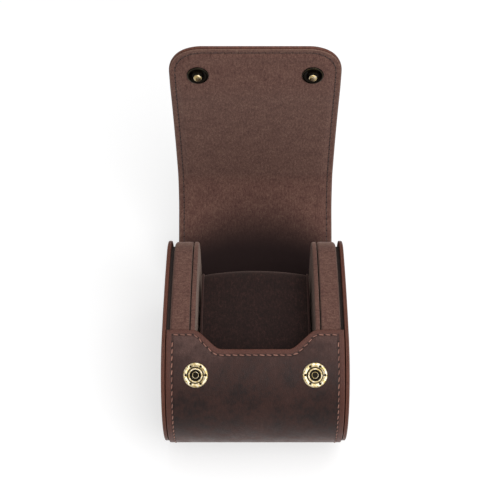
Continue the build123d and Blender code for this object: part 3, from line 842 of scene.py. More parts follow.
# %% Thread and holes
THREAD_PALE = (0.370, 0.175, 0.125, 1)
THREAD_DARK = (0.110, 0.042, 0.030, 1)
SUEDE_THREAD_PALE = (0.050, 0.021, 0.016, 1)
SUEDE_THREAD_DARK = (0.018, 0.007, 0.005, 1)
# A hole's colours are painted shade.
HOLE_DARK = (0.006, 0.003, 0.002, 1)
HOLE_FUZZ = (0.022, 0.010, 0.007, 1)
TWIST = 16.0


def thread(name, pale, dark):
    """The twist is sin(16 t + a), with t the place along the stitch, from -1 to 1, and a the
    angle around it. The edge map is one point a stitch, so each stitch has its own tone."""
    tree, principled = new_material(name)
    place = uv(tree, "sheet", "X")
    twist = maths(tree, "SINE", weigh(tree, place, TWIST, uv(tree, "sheet", "Y")))
    worn = noise(tree, uv(tree, "edge"), 0.31, 3.0)
    colour = paint(
        tree,
        pale,
        (ramp_value(tree, worn, 0.35, 0.65, 0.0, 0.6), dark),
        # Painted shade: the ends darken towards the holes, and the twist's grooves darken.
        (ramp_value(tree, maths(tree, "ABSOLUTE", place), 0.45, 1.0), dark),
        (ramp_value(tree, twist, -1.0, 1.0, 0.35, 0.0), dark),
    )
    shade(tree, principled, colour, 0.6, Normal=bump(tree, twist, 0.6, 0.05))


def hole_painted_shade():
    """The painted shade of a hole, between two colours by fine noise."""
    tree, principled = new_material("hole_painted_shade")
    fuzz = noise(tree, uv(tree, "sheet"), 6.0)
    shade(tree, principled, paint(tree, HOLE_DARK, (fuzz, HOLE_FUZZ)), 0.95)


thread("thread", THREAD_PALE, THREAD_DARK)
thread("suede_thread", SUEDE_THREAD_PALE, SUEDE_THREAD_DARK)
hole_painted_shade()
print("threads:", [name for name in materials if "thread" in name])

# %% [markdown]
# ## Metal
#
# The snaps are plated brass, aged so that the hollows are almost black and the high places
# are bright. The same darkening also stands for light: painted shade in the cups, in the bores
# and under the rims, and a painted dark reflection on the studs' bases. A mask for it could be
# painted by hand. But each turned profile knows its own hollows and shaded places, and writes
# them into the `edge` map, where the metal reads them.

# %% Brass and steel
BRASS_BRIGHT = (0.70, 0.61, 0.45, 1)
BRASS_DARK = (0.36, 0.27, 0.11, 1)
BRASS_PATINA_AND_SHADE = (0.010, 0.008, 0.006, 1)
STEEL_BRIGHT = (0.55, 0.54, 0.52, 1)
STEEL_DARK = (0.25, 0.24, 0.22, 1)
STEEL_PATINA = (0.03, 0.03, 0.03, 1)


def metal(name, bright, dark, patina_and_shade_colour, roughness):
    """The tone is 0.55 wear + 0.25 fine patches. The darkest colour, for patina and painted shade,
    is laid on by a smooth step of the patina-and-shade share plus 0.35 wear."""
    tree, principled = new_material(name)
    place = object_mm(tree)
    patches = use_group(tree, "mottle", {"Position": place})
    worn = noise(tree, place, 0.9, 6.0, 0.7)
    tone = weigh(tree, worn, 0.55, weigh(tree, patches["Fine"], 0.25))
    patina_and_shade = weigh(tree, worn, 0.35, uv(tree, "edge", "Y"))
    colour = paint(
        tree,
        dark,
        (ramp_value(tree, tone, 0.25, 0.62), bright),
        (ramp_value(tree, patina_and_shade, 0.35, 1.05), patina_and_shade_colour),
    )
    rough = ramp_value(tree, worn, 0.2, 0.8, roughness, roughness + 0.2)
    scratches = bump(tree, noise(tree, place, 9.0, 3.0, 0.8), 0.25, 0.03)
    shade(tree, principled, colour, rough, Normal=scratches, Metallic=1.0)


metal("antique_brass", BRASS_BRIGHT, BRASS_DARK, BRASS_PATINA_AND_SHADE, 0.20)
metal("spring_steel", STEEL_BRIGHT, STEEL_DARK, STEEL_PATINA, 0.25)
print("metals:", list(materials)[-2:])

# %% [markdown]
# ## Board and wood
#
# The stiffeners are fibreboard, and the end walls have wooden cores. Both are mostly out of
# sight, so they need no groups: one stretched noise between two colours gives their fibres.

# %% Board and wood
CORES = {
    "board": ((0.050, 0.030, 0.020, 1), (0.11, 0.07, 0.05, 1), 1.5),
    "core_wood": ((0.010, 0.006, 0.005, 1), (0.030, 0.018, 0.014, 1), 1.2),
}


def core(name, dark, pale, scale):
    """Fibres: noise stretched five times along the depth, between two colours."""
    tree, principled = new_material(name)
    fibres = noise(tree, stretch(tree, object_mm(tree), (1.0, 0.2, 1.0)), scale, 6.0, 0.65)
    colour = paint(tree, dark, (ramp_value(tree, fibres, 0.3, 0.7), pale))
    shade(tree, principled, colour, 0.9, Normal=bump(tree, fibres, 0.4, 0.1))


for name, (dark, pale, scale) in CORES.items():
    core(name, dark, pale, scale)
print("materials:", ", ".join(materials))

# %% [markdown]
# ## The outer leather
#
# Front panel, base, back, lid and tab are one sheet of leather on the real case. It could be
# one long mesh with an armature, but here the skin is cut in the stiff middle of each panel, so
# that each of its four stretches holds one fold.

# %% Stretches of a sheet
PANELS = ["back", "corner", "top", "front"]
CUTS = [MID_BACK, MID_CORNER, MID_TOP, TIP_AT]
STRETCHES = ["root", "corner", "shoulder", "tip"]
BEFORE_FOLD = [3.0, 7.4, 7.4, 12.0]
AFTER_FOLD = [12.0, 7.4, 7.4, 4.5]


def bend_at(piece, number):
    """Bakes a piece's placement into its points. The span round the fold is worked out, but it
    isn't used.
    """
    s = np.array([FOLD_AT[number] - BEFORE_FOLD[number], FOLD_AT[number] + AFTER_FOLD[number]])
    start, end = track.place(0.0, s, 0.0) * MM
    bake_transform(piece)


def stretch_grid(number, half, inset=0.0, start=None):
    """The grid of one stretch of a sheet. The first stretch begins at a length, or else at the
    front panel's edge, and the last one ends an inset short of the leather's tip."""
    if number == 0 and start is None:
        return front_grid(half, CUTS[0])
    if number == 3:
        return tip_grid(half, CUTS[2], inset)
    return plain_grid(half, start if number == 0 else CUTS[number - 1], CUTS[number])


print("stretches end at", np.round(CUTS, 1))

# %% The outer leather
LEATHER_EDGE = 0.45
PULL_UP_BASE = 0.12
# Bells of paling: the first two, at the tabs and at the round into the base, are painted highlight
# and painted reflection; the rest, at the folds, are pull-up.
PULL_UP_AND_PAINTED_LIGHT = [
    (0.0, 15.0, 0.75),
    (75.0, 19.0, 1.30),
    (FOLD_AT[0], 18.0, 0.5),
    (FOLD_AT[1], 9.0, 0.5),
    (FOLD_AT[2], 9.0, 0.5),
    (FOLD_AT[3], 14.0, 0.6),
]
UNDER_LEATHER = [
    ["wrap_leather", "flap_leather_back"],
    ["flap_leather_corner"],
    ["flap_leather_top"],
    ["flap_leather_front"],
]


def pull_up_and_painted_light(s):
    """How much the leather pales. It is most at the front panel's edge and where the sheet rounds
    into the base, which is painted highlight and painted reflection of the table, and at the
    folds, where the wax has drawn back. It is a base plus a sum of bells a exp(-((s - c) / w)^2),
    each given as (c, w, a)."""
    bells = (share * np.exp(-(((s - centre) / width) ** 2)) for centre, width, share in PULL_UP_AND_PAINTED_LIGHT)
    return PULL_UP_BASE + sum(bells)


def outer_leather():
    """The leather, from the front panel's edge to the flap's tip."""
    for number, title in enumerate(STRETCHES):
        grid = stretch_grid(number, WRAP_HALF)
        piece = slab(
            f"leather_{title}", grid, -HALF_LEATHER, HALF_LEATHER, LEATHER_EDGE,
            pull_up_and_painted_light(grid[1]), slot="saddle_leather",
        )
        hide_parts(*UNDER_LEATHER[number])
        bend_at(piece, number)


outer_leather()
print("leather:", round(float(TIP_AT), 1), "mm long,", round(2 * WRAP_HALF, 1), "mm wide")

# %% [markdown]
# ## The flap's suede and its board
#
# Inside the leather lies a board, and suede covers both. The suede comes down onto the leather
# round the board's edge, and is stitched there. A cloth simulation could drape it over the
# board, but glued suede has no folds. A smooth step of the distance to the edge is the same
# shape, and it stays the same at every run.

# %% The flap's suede and its board
SUEDE_EDGE = 0.3
BOARD_EDGE = 0.2
SUEDE_START = 3.4
BOARD_START = 1.0
STEP_DOWN = 2.6
GLUE_GAP = 0.08
# The painted shade behind the pillow: how far it reaches, and how it falls and fades.
SHADE_REACH = 6.0
SHADE_DROP = 22.0
SHADE_FULL = 1.12
SHADE_FADE = 0.75


def smooth(t):
    """The smooth step t^2 (3 - 2 t) of t held between 0 and 1."""
    t = np.clip(t, 0, 1)
    return t**2 * (3 - 2 * t)


def suede_offset(distance):
    """The suede lies on the leather by the edge and on the board further in."""
    return -HALF_LEATHER - BOARD * smooth((distance - STEP_DOWN) / STEP_DOWN)


def painted_shade_behind_pillow(x, s):
    """How much painted shade darkens the suede where the flap lies behind the pillow. It is full
    at the root and fades out, by a smooth step, at a height that falls with x^2 from the middle."""
    reach = FOLD_AT[1] - FOLD_AT[0] + SHADE_REACH - SHADE_DROP * (x / SUEDE_HALF) ** 2
    return smooth((SHADE_FULL - (s - FOLD_AT[0]) / reach) / SHADE_FADE)


def flap_suede():
    """The suede, from just before the root fold to the tip."""
    start = FOLD_AT[0] - SUEDE_START
    for number, title in enumerate(STRETCHES):
        x, s, distance = stretch_grid(number, SUEDE_HALF, SUEDE_STEP, start)
        top = suede_offset(distance)
        if number == 0:
            distance = np.minimum(distance, s - start)
        piece = slab(
            f"suede_{title}", (x, s, distance), top - SUEDE, top, SUEDE_EDGE,
            painted_shade_behind_pillow(x, s), slot="suede",
        )
        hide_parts(f"flap_suede_{PANELS[number]}")
        bend_at(piece, number)


def flap_board():
    """The board between the leather and the suede, a hair thinner than the room it has."""
    inset = STACK + BOARD
    start = FOLD_AT[0] + BOARD_START
    for number, title in enumerate(STRETCHES):
        grid = stretch_grid(number, BOARD_HALF - inset, BOARD_STEP + inset, start)
        low, high = -HALF_LEATHER - BOARD + GLUE_GAP, -HALF_LEATHER - GLUE_GAP
        piece = slab(f"board_{title}", grid, low, high, BOARD_EDGE, slot="board")
        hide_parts(f"flap_board_{PANELS[number]}")
        bend_at(piece, number)


flap_suede()
flap_board()
print("flap's suede:", round(float(TIP_AT - SUEDE_STEP - FOLD_AT[0] + SUEDE_START), 1), "mm long")

# %% [markdown]
# ## The cavity's lining
#
# The suede on the cavity's front, floor and back stays with the case, so it is a piece of its
# own and ends just before the flap's begins. It could share the flap's mesh, but then the seam
# between them would stretch when the flap opens. Little light reaches it, so painted shade
# darkens it all over.

# %% The cavity's lining
LINING_END = 3.6
LINING_SHADE = 0.85


def cavity_lining():
    """The lining, under the board's thickness all the way."""
    grid = front_grid(LINING_HALF, FOLD_AT[0] - LINING_END)
    deep = -HALF_LEATHER - BOARD
    piece = slab(
        "cavity_suede", grid, deep - SUEDE, deep, SUEDE_EDGE, LINING_SHADE,
        body="case", slot="suede",
    )
    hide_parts("cavity_lining")


cavity_lining()

# %% [markdown]
# ## The end walls
#
# Each end wall is a core between an outer cover and a suede lip, with a padded band over its
# rim, and all of them share one outline. They could be extruded from a curve and bevelled, but
# every layer has an edge of its own. So a wall piece is a loft: its profile is a list of
# (x, inset, share), and each ring lies at that x, drawn in from the outline by the inset, and
# then moved the given share of the way to the middle of the wall.


# %% The outline of the end walls
OUTLINE_POINTS = 320


def end_outline():
    """Points and outward normals of the covers' outline, counter-clockwise from the base, and
    the length at each point."""
    moves = [
        (BASE_RUN, 0.0),
        arc(BACK_BOTTOM_RADIUS, np.pi / 2),
        (BACK_CENTRE_Z - PROUD - BACK_BOTTOM_RADIUS, 0.0),
        arc(BACK_TOP_RADIUS, CROWN_START),
        arc(CROWN_RADIUS, CROWN_END - CROWN_START),
        arc(FRONT_TOP_RADIUS, np.pi - CROWN_END),
        (FRONT_RUN, 0.0),
        arc(FRONT_BOTTOM_RADIUS, np.pi / 2),
    ]
    rim = Track((-CASE_DEPTH / 2 + FRONT_BOTTOM_RADIUS, PROUD), 0.0, moves)
    length = np.linspace(0, rim.total, OUTLINE_POINTS, endpoint=False)
    point, heading = rim.at(length)
    return point, np.stack([np.sin(heading), -np.cos(heading)], -1), length


RIM_POINT, RIM_NORMAL, RIM_LENGTH = end_outline()
WALL_MIDDLE = RIM_POINT.mean(0)
print("outline:", OUTLINE_POINTS, "points round", np.round(WALL_MIDDLE, 1))


# %% The rings of a wall piece
BAND_SEAT = RIM_SEAT + 0.03
WALL_PAINTED_SHADE = 0.8
FACE_DEPTH = 1.0
FACE_SHARES = [0.98, 0.8, 0.6, 0.4, 0.25, 0.12]
FACE_INSET = 4.0
FACE_MAP_SHIFT = 200.0
POLE_DEPTH = 40.0
WALL_SHARP = 60
SIDES = {"left": -1, "right": 1}


def wall_rings(profile, side, painted_shade_x, rest_share):
    """The rings of a profile as points, their rim map, face map and edge map. A ring's points
    are m + (p - n inset - m) (1 - share), with p and n the outline's points and normals and m
    the wall's middle. Rings nearer the case's middle than painted_shade_x carry painted shade,
    and the others take rest_share."""
    x, inset, share = np.array(profile, float).T
    edge = RIM_POINT[None] - RIM_NORMAL[None] * inset[:, None, None]
    flat = WALL_MIDDLE + (edge - WALL_MIDDLE) * (1 - share)[:, None, None]
    at = np.broadcast_to(side * x[:, None, None], flat.shape[:2] + (1,))
    depth = inset[:, None] + share[:, None] * np.linalg.norm(edge - WALL_MIDDLE, axis=-1)
    round_rim = np.stack(np.broadcast_arrays(RIM_LENGTH[None], (x + inset)[:, None]), -1)
    # The edge map's share: painted shade on the faces towards the cavity.
    dark = np.where(x <= painted_shade_x, WALL_PAINTED_SHADE, rest_share)[:, None]
    edge_map = np.stack(np.broadcast_arrays(dark, depth), -1)
    return np.concatenate([at, flat], -1), round_rim, flat + FACE_MAP_SHIFT * side, edge_map


print("the outer face lies at x", CASE_WIDTH / 2, "and the lip's at x", round(LIP_INNER_X, 2))


# %% A piece lofted through its rings
def wall_piece(name, profile, side, ring=False, painted_shade_x=0.0, rest_share=0.0, **how):
    """A lofted wall piece, either a plate that closes at two poles or a ring. Its faces take
    the face map, and its rim takes the rim map."""
    maps = wall_rings(profile, side, painted_shade_x, rest_share)
    rows, columns = maps[0].shape[:2]
    points, sheet, face, edge = (a.reshape(-1, a.shape[-1]) for a in maps)
    faces = [grid_faces(rows, columns, closed=True, ring=ring)]
    if not ring:
        for row in (0, rows - 1):
            loop = row * columns + np.arange(columns)
            middle = points[loop].mean(0)
            fan = fan_faces(len(points), loop)
            faces.append(fan[:, ::-1] if row else fan)
            points = np.concatenate([points, [middle]])
            sheet = np.concatenate([sheet, [middle[1:]]])
            face = np.concatenate([face, [middle[1:] + FACE_MAP_SHIFT * side]])
            edge = np.concatenate([edge, [[edge[loop[0], 0], POLE_DEPTH]]])
    if side > 0:
        faces = [group[:, ::-1] for group in faces]
    flat = (face, edge[:, 1] >= FACE_DEPTH)
    return new_mesh(name, points, faces, sheet, edge, "case", sharp=WALL_SHARP, flat=flat, **how)


print("a wall piece is a loft of", OUTLINE_POINTS, "columns")


# %% Faces and rounded corners of a profile
def face_rings(x):
    """Rings that cover a flat face from its middle to near its rim."""
    return [(x, FACE_INSET, share) for share in FACE_SHARES + [0]]


def rounded_corner(x, radius, count, outward):
    """A quarter round from a face at x to the seat, at angles a from 0 to a right angle:
    (x -+ r (1 - cos a), seat + r (1 - sin a)). It ends at the face if outward is -1."""
    turn = np.linspace(0, np.pi / 2, count)[::outward]
    return [
        (x - outward * radius * (1 - np.cos(a)), BAND_SEAT + radius * (1 - np.sin(a)), 0)
        for a in turn
    ]


print("a face closes in", len(FACE_SHARES), "rings")

# %% [markdown]
# The end cover is two leathers glued back to back and cut flush, so its edge shows a seam line.
# A creasing iron has run a line inside its rim. The line and the seam could be a bump, but at
# the case's silhouette a bump shows nothing, so both are rings of the profile.


# %% End covers
CREASE_INSET = 2.2
CREASE_WIDE = 0.6
CREASE_DEEP = 0.22
# The cover's leather takes a paler tone all over.
COVER_PALING = 0.45


def cover(title, side):
    """The end cover, from the outer face over the rim to the inner face."""
    outer = CASE_WIDTH / 2
    rim = [
        (outer, CREASE_INSET + CREASE_WIDE),
        (outer - CREASE_DEEP, CREASE_INSET),
        (outer, CREASE_INSET - CREASE_WIDE),
        (outer, 0.55),
        (outer - 0.12, 0.2),
        (outer - 0.35, 0),
        (COVER_SEAM_X + 0.12, 0),
        (COVER_SEAM_X, 0.14),
        (COVER_SEAM_X - 0.12, 0),
        (COVER_INNER_X + 0.25, 0),
        (COVER_INNER_X + 0.08, 0.15),
        (COVER_INNER_X, 0.5),
    ]
    profile = face_rings(outer) + [(x, inset, 0) for x, inset in rim]
    profile += face_rings(COVER_INNER_X)[::-1]
    piece = wall_piece(
        f"end_cover_{title}", profile, side, rest_share=COVER_PALING, slot="saddle_leather"
    )
    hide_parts(f"cover_leather_{title}", f"cover_backing_{title}")


for title, side in SIDES.items():
    cover(title, side)
print("end covers:", ", ".join(SIDES))

# %% [markdown]
# The band is suede drawn tight over a strip of padding, and the lip is suede turned over a
# board. Cloth could be wrapped round both, but drawn suede shows only how round its corners
# are: wide on the padding, narrow on the board. So each is a profile with its own radii.

# %% Padded bands and lips
BAND_OUTER_RADIUS = 1.7
BAND_INNER_RADIUS = 0.8
BAND_FLAT_RINGS = 8
LIP_OUTER_RADIUS = 0.5
LIP_INNER_RADIUS = 0.8


def rim_band(title, side):
    """The padded suede band. Its section is a pad with two soft corners, closed below."""
    floor = RIM_SEAT + BAND_PADDING
    flat = np.linspace(
        BAND_OUTER_X - BAND_OUTER_RADIUS, BAND_INNER_X + BAND_INNER_RADIUS, BAND_FLAT_RINGS
    )
    profile = [(BAND_OUTER_X, floor, 0)]
    profile += rounded_corner(BAND_OUTER_X, BAND_OUTER_RADIUS, 7, 1)
    profile += [(x, BAND_SEAT, 0) for x in flat[1:-1]]
    profile += rounded_corner(BAND_INNER_X, BAND_INNER_RADIUS, 7, -1)
    profile += [(BAND_INNER_X, floor, 0)]
    piece = wall_piece(f"padded_band_{title}", profile, side, ring=True, slot="suede")
    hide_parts(f"rim_band_{title}")


def lip(title, side):
    """The suede lip that stands between the band and the cavity. Its face towards the cavity
    carries painted shade.
    """
    profile = face_rings(LIP_OUTER_X) + [(LIP_OUTER_X, BAND_SEAT + LIP_INNER_RADIUS, 0)]
    profile += rounded_corner(LIP_OUTER_X, LIP_OUTER_RADIUS, 6, 1)
    profile += rounded_corner(LIP_INNER_X, LIP_INNER_RADIUS, 6, -1)
    profile += face_rings(LIP_INNER_X)[::-1]
    piece = wall_piece(f"lip_{title}", profile, side, painted_shade_x=LIP_INNER_X, slot="suede")
    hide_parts(f"lip_suede_{title}")


for title, side in SIDES.items():
    rim_band(title, side)
    lip(title, side)
print("end walls: 2 covers, 2 bands, 2 lips")

# %% [markdown]
# ## Press snaps
#
# A press snap is four stampings: a socket with a split spring inside and a rivet through it on
# the case, and a ball stud and a cap on the flap. All were formed round one axis, so each is a
# profile of (radius, height, hollow) turned round it. The hollow darkens the metal: it is patina
# in the hollows, painted shade in the cups, the bores and under the rims, and a painted dark
# reflection on the studs' bases. A Screw modifier on a drawn profile could do the same, but it
# can't carry the hollow. The profile's corners are a smooth curve through a few points. The
# socket's six marks are pressed in with a bell exp(-(d / w)^4) of the distance d to the nearest
# mark's middle, which has a flat floor.

# %% Turned metal
SNAP_SEGMENTS = 120
CURVE_STEPS = 5
SNAP_SHARP = 55
MARKED_ABOVE = 0.2
MARK_PATINA = 1.2


def snap_frame(s, x, out, inward):
    """The origin of a snap on the track, and its three axes: across the case, along the
    sheet, and off the face, which is the track's normal or its opposite."""
    origin = track.place(np.array([x]), np.array([s]), np.array([out]))[0]
    heading = track.at(np.array([s]))[1][0]
    normal = np.array([0, np.sin(heading), -np.cos(heading)]) * (-1 if inward else 1)
    first = np.array([1.0, 0, 0])
    return origin, np.stack([first, np.cross(normal, first), normal])


def curve_through(points):
    """Points along a Catmull-Rom curve through (radius, height, hollow) points."""
    p = np.array(points, float)
    padded = np.concatenate([[2 * p[0] - p[1]], p, [2 * p[-1] - p[-2]]])
    t = np.linspace(0, 1, CURVE_STEPS, endpoint=False)[:, None]
    a, b, c, d = (padded[k : k + len(p) - 1, None] for k in range(4))
    curve = 0.5 * (
        2 * b + (c - a) * t + (2 * a - 5 * b + 4 * c - d) * t**2 + (3 * b - a - 3 * c + d) * t**3
    )
    return np.concatenate([curve.reshape(-1, 3), p[-1:]]).tolist()


def press_marks(spun, patina_and_shade, count, circle, width, depth):
    """Presses a circle of marks into the upper face of a turned piece, in place, each by the
    bell depth * exp(-(d / width)^4)."""
    centre = np.arange(count) * 2 * np.pi / count
    middle = np.stack([circle * np.cos(centre), circle * np.sin(centre)], -1)
    gap = np.linalg.norm(spun[:, :, None, :2] - middle, axis=-1).min(-1)
    press = np.exp(-((gap / width) ** 4)) * (spun[..., 2] > MARKED_ABOVE)
    spun[..., 2] -= depth * press
    patina_and_shade[:] = np.maximum(patina_and_shade, press * MARK_PATINA)


def turned(name, profile, place, body, marks=None):
    """A solid of revolution (r cos a, r sin a, h). Its profile closes back on itself."""
    radius, height, patina_and_shade = np.array(profile, float).T[:, :, None]
    angle = np.linspace(0, 2 * np.pi, SNAP_SEGMENTS, endpoint=False)
    spun = [radius * np.cos(angle), radius * np.sin(angle), height + 0 * angle]
    spun, patina_and_shade = np.stack(spun, -1), patina_and_shade + 0 * angle
    if marks:
        press_marks(spun, patina_and_shade, *marks)
    points = spun.reshape(-1, 3)
    origin, axes = place
    faces = [grid_faces(*patina_and_shade.shape, closed=True, ring=True)]
    edge = np.stack([np.zeros(len(points)), patina_and_shade.ravel()], -1)
    return new_mesh(
        name, origin + points @ axes, faces, points[:, :2].copy(), edge,
        body=body, slot="antique_brass", sharp=SNAP_SHARP,
    )


print("a snap has", SNAP_SEGMENTS, "segments")

# %% Sockets
# The third values darken the metal: patina with painted shade at the rim and in the groove by the
# collar, and painted shade in the cup and on the rivet inside the bore.
SOCKET_FLANGE = [
    (5.35, -0.3, 1), (5.6, -0.1, 0.9), (5.58, 0.22, 0.4), (5.2, 0.52, 0), (4.6, 0.60, 0.05),
    (4.1, 0.50, 0.3), (3.65, 0.52, 0.8), (3.42, 0.75, 0.8), (3.36, 1.3, 0.3),
    (3.28, 1.75, 0), (3.0, 1.98, 0), (2.72, 1.96, 0.2), (2.5, 1.75, 0.8),
]
SOCKET_CUP = [(2.45, 1.6, 0.9), (2.85, 1.58, 1), (2.85, 0.05, 1), (1.55, 0.0, 1), (1.55, -0.3, 1)]
SOCKET_MARKS = (6, 4.45, 0.55, 0.38)
RIVET_FLOOR = [(0.02, 0.05, 1.2), (1.13, 0.05, 1.2)]
RIVET_ROLL = [(1.15, 0.0, 1), (1.2, 0.3, 0.8), (1.42, 0.46, 0.1), (1.66, 0.3, 0.7), (1.8, 0.04, 1)]
RIVET_SHANK = [(1.45, 0.02, 1), (1.45, -LEATHER, 1), (3.0, -LEATHER, 1), (2.9, -2.0, 0.5)]
RIVET_HEAD = [(0.02, -2.1, 0.5)]


def socket(title, side):
    """The socket's domed flange with its collar and its cup, which painted shade darkens, and the
    rivet that is rolled over inside the cup and has its head behind the leather."""
    place = snap_frame(SOCKET_AT, side * SNAP_X, HALF_LEATHER, False)
    shell = curve_through(SOCKET_FLANGE) + SOCKET_CUP
    piece = turned(f"socket_{title}", shell, place, "case", SOCKET_MARKS)
    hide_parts(f"socket_shell_{title}")
    rivet = RIVET_FLOOR + curve_through(RIVET_ROLL) + RIVET_SHANK + RIVET_HEAD
    piece = turned(f"rivet_{title}", rivet, place, "case")
    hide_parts(f"socket_rivet_{title}")


for title, side in SIDES.items():
    socket(title, side)
print("sockets:", SOCKET_MARKS[0], "marks each")

# %% Studs and caps
# The stud's base is set to full hollow, which paints a dark reflection on it; the ball stays
# bright.
STUD_BASE = [(0.02, 0.0, 1)]
STUD = [
    (4.95, 0.0, 1), (5.1, 0.15, 1), (5.05, 0.42, 0.9), (4.7, 0.68, 0.78),
    (4.1, 0.74, 0.88), (3.2, 0.55, 1), (2.3, 0.55, 1), (1.65, 0.8, 1), (1.5, 1.1, 0.7),
    (1.7, 1.4, 0.4), (1.93, 1.75, 0.2), (1.88, 2.15, 0.1), (1.5, 2.48, 0.1),
    (0.8, 2.6, 0.2), (0.02, 2.6, 0.2),
]
POST_END = -STACK - HALF_LEATHER - 0.3
CAP_POST = [(0.02, POST_END, 0.5), (1.3, POST_END, 0.5), (1.3, 0.0, 1)]
# The cap's rim is darkened where it meets the leather, as painted shade.
CAP_DOME = [
    (5.8, 0.0, 0.9), (6.0, 0.12, 0.6), (5.95, 0.4, 0.05), (5.5, 0.8, 0), (4.4, 1.12, 0),
    (2.6, 1.27, 0), (0.02, 1.3, 0),
]


def stud(title, side):
    """The stud's base and ball on the suede, and the domed cap on the leather behind it,
    whose post goes through to the stud."""
    inside = snap_frame(SNAP_AT, side * SNAP_X, -STACK, True)
    ball = STUD_BASE + curve_through(STUD)
    piece = turned(f"ball_stud_{title}", ball, inside, "flap_front")
    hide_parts(f"stud_{title}")
    outside = snap_frame(SNAP_AT, side * SNAP_X, HALF_LEATHER, False)
    piece = turned(f"cap_{title}", CAP_POST + curve_through(CAP_DOME), outside, "flap_front")
    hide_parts(f"snap_cap_{title}")


for title, side in SIDES.items():
    stud(title, side)
print("snaps: sockets at", round(float(SOCKET_AT), 2), "studs at", round(float(SNAP_AT), 2))

# %% [markdown]
# ## Stitching
#
# A saddle stitch goes through awl holes that were marked at an even pitch, and lies a little
# slanted between them. An array modifier along a curve would be quick, but it wouldn't start
# and end evenly at the corners, and it wouldn't follow the bending sheet. So each seam is a
# path in (x, s), divided evenly at about the pitch. A stitch is a low, rounded tube of few
# faces, since there are hundreds, and a hole is a shallow dark disc of the same making. The
# stitches of one stretch are one mesh.


# %% Paths of the seams
SIDE_SEAM_START = 6.0
SUEDE_SEAM_START = 2.0
THREAD_RISE = 0.02
LOOK_AHEAD = 0.3
FRONT_SAMPLES, SIDE_SAMPLES, TIP_SAMPLES = 400, 200, 40


def divide(path):
    """Points on a path, evenly spaced at about the pitch, and the direction there: the
    difference of the places a little ahead and a little behind."""
    steps = np.linalg.norm(np.diff(path, axis=0), axis=1)
    length = np.concatenate([[0], np.cumsum(steps)])
    count = int(round(length[-1] / STITCH_PITCH))
    at = (np.arange(count) + 0.5) * length[-1] / count
    moved = (at, at + LOOK_AHEAD, at - LOOK_AHEAD)
    point, ahead, behind = (
        np.stack([np.interp(u, length, path[:, k]) for k in range(2)], -1) for u in moved
    )
    way = ahead - behind
    return point, way / np.linalg.norm(way, axis=1, keepdims=True)


def front_seam():
    """Along the tabs and the dip of the front panel, in from its edge: the dip moved by the
    inset times (1 + slope^2)^(1/2)."""
    reach = WRAP_HALF - STITCH_INSET
    x = np.linspace(-reach, reach, FRONT_SAMPLES)
    begin, slope = front_edge(x)
    return np.stack([x, begin + STITCH_INSET * np.sqrt(1 + slope**2)], -1)


def side_seams(start):
    """Straight down both sides, from a length to the corners of the flap's tip."""
    s = np.linspace(start, TIP_AT - TIP_CORNER, SIDE_SAMPLES)
    reach = WRAP_HALF - STITCH_INSET
    return [np.stack([np.full_like(s, side * reach), s], -1) for side in SIDES.values()]


def tip_seam():
    """Round the flap's tip, from one side to the other, as two quarter circles."""
    radius = TIP_CORNER - STITCH_INSET
    centre = np.array([WRAP_HALF - STITCH_INSET, TIP_AT - STITCH_INSET]) - radius
    turn = np.linspace(0, np.pi / 2, TIP_SAMPLES)
    right = centre + radius * np.stack([np.cos(turn), np.sin(turn)], -1)
    return np.concatenate([right, (right * [-1, 1])[::-1]])


def seam_rows(low, high):
    """The places of the stitches between two lengths, on the leather and on the suede."""
    outer = side_seams(SIDE_SEAM_START) + [front_seam(), tip_seam()]
    inner = side_seams(FOLD_AT[0] + SUEDE_SEAM_START) + [tip_seam()]
    levels = (
        ("leather", outer, HALF_LEATHER + THREAD_RISE),
        ("suede", inner, -HALF_LEATHER - SUEDE - THREAD_RISE),
    )
    found = {"leather": [], "suede": []}
    for face, paths, out_of in levels:
        for path in paths:
            point, way = divide(path)
            keep = (point[:, 1] >= low) & (point[:, 1] < high)
            if keep.any():
                found[face].append((point[keep], way[keep], out_of))
    return found


every_seam = seam_rows(0.0, TIP_AT + 1)
print("stitches:", {face: sum(len(p) for p, _, _ in rows) for face, rows in every_seam.items()})


# %% Stitches as arrays of small tubes
STITCH_RINGS = 7
STITCH_SIDES = 8
STITCH_POINTS = STITCH_RINGS * STITCH_SIDES
STITCH_END = 0.99


def turned_left(way):
    """Directions turned left by a right angle."""
    return np.stack([-way[:, 1], way[:, 0]], -1)


def stitch_shapes(point, way, out_of, length, width, height):
    """All the stitches of a list of places as one array of tube rings.

    A ring at t along the stitch, from -1 to 1, has the share (1 - t^4)^(1/2) of the full
    width and height, so the tube closes at both ends."""
    t = np.linspace(-STITCH_END, STITCH_END, STITCH_RINGS)[:, None]
    turn = np.linspace(0, 2 * np.pi, STITCH_SIDES, endpoint=False)
    share = np.sqrt(1 - t**4)
    along_it = (t * length / 2)[..., None]
    beside = (share * np.cos(turn) * width / 2)[..., None]
    above = share * np.sin(turn) * height / 2
    way, side_way = way[:, None, None], turned_left(way)[:, None, None]
    flat = point[:, None, None] + way * along_it + side_way * beside
    out = out_of + np.broadcast_to(above, flat.shape[:3])
    run = np.stack(np.broadcast_arrays(t, turn), -1)
    return flat, out, np.broadcast_to(run, flat.shape)


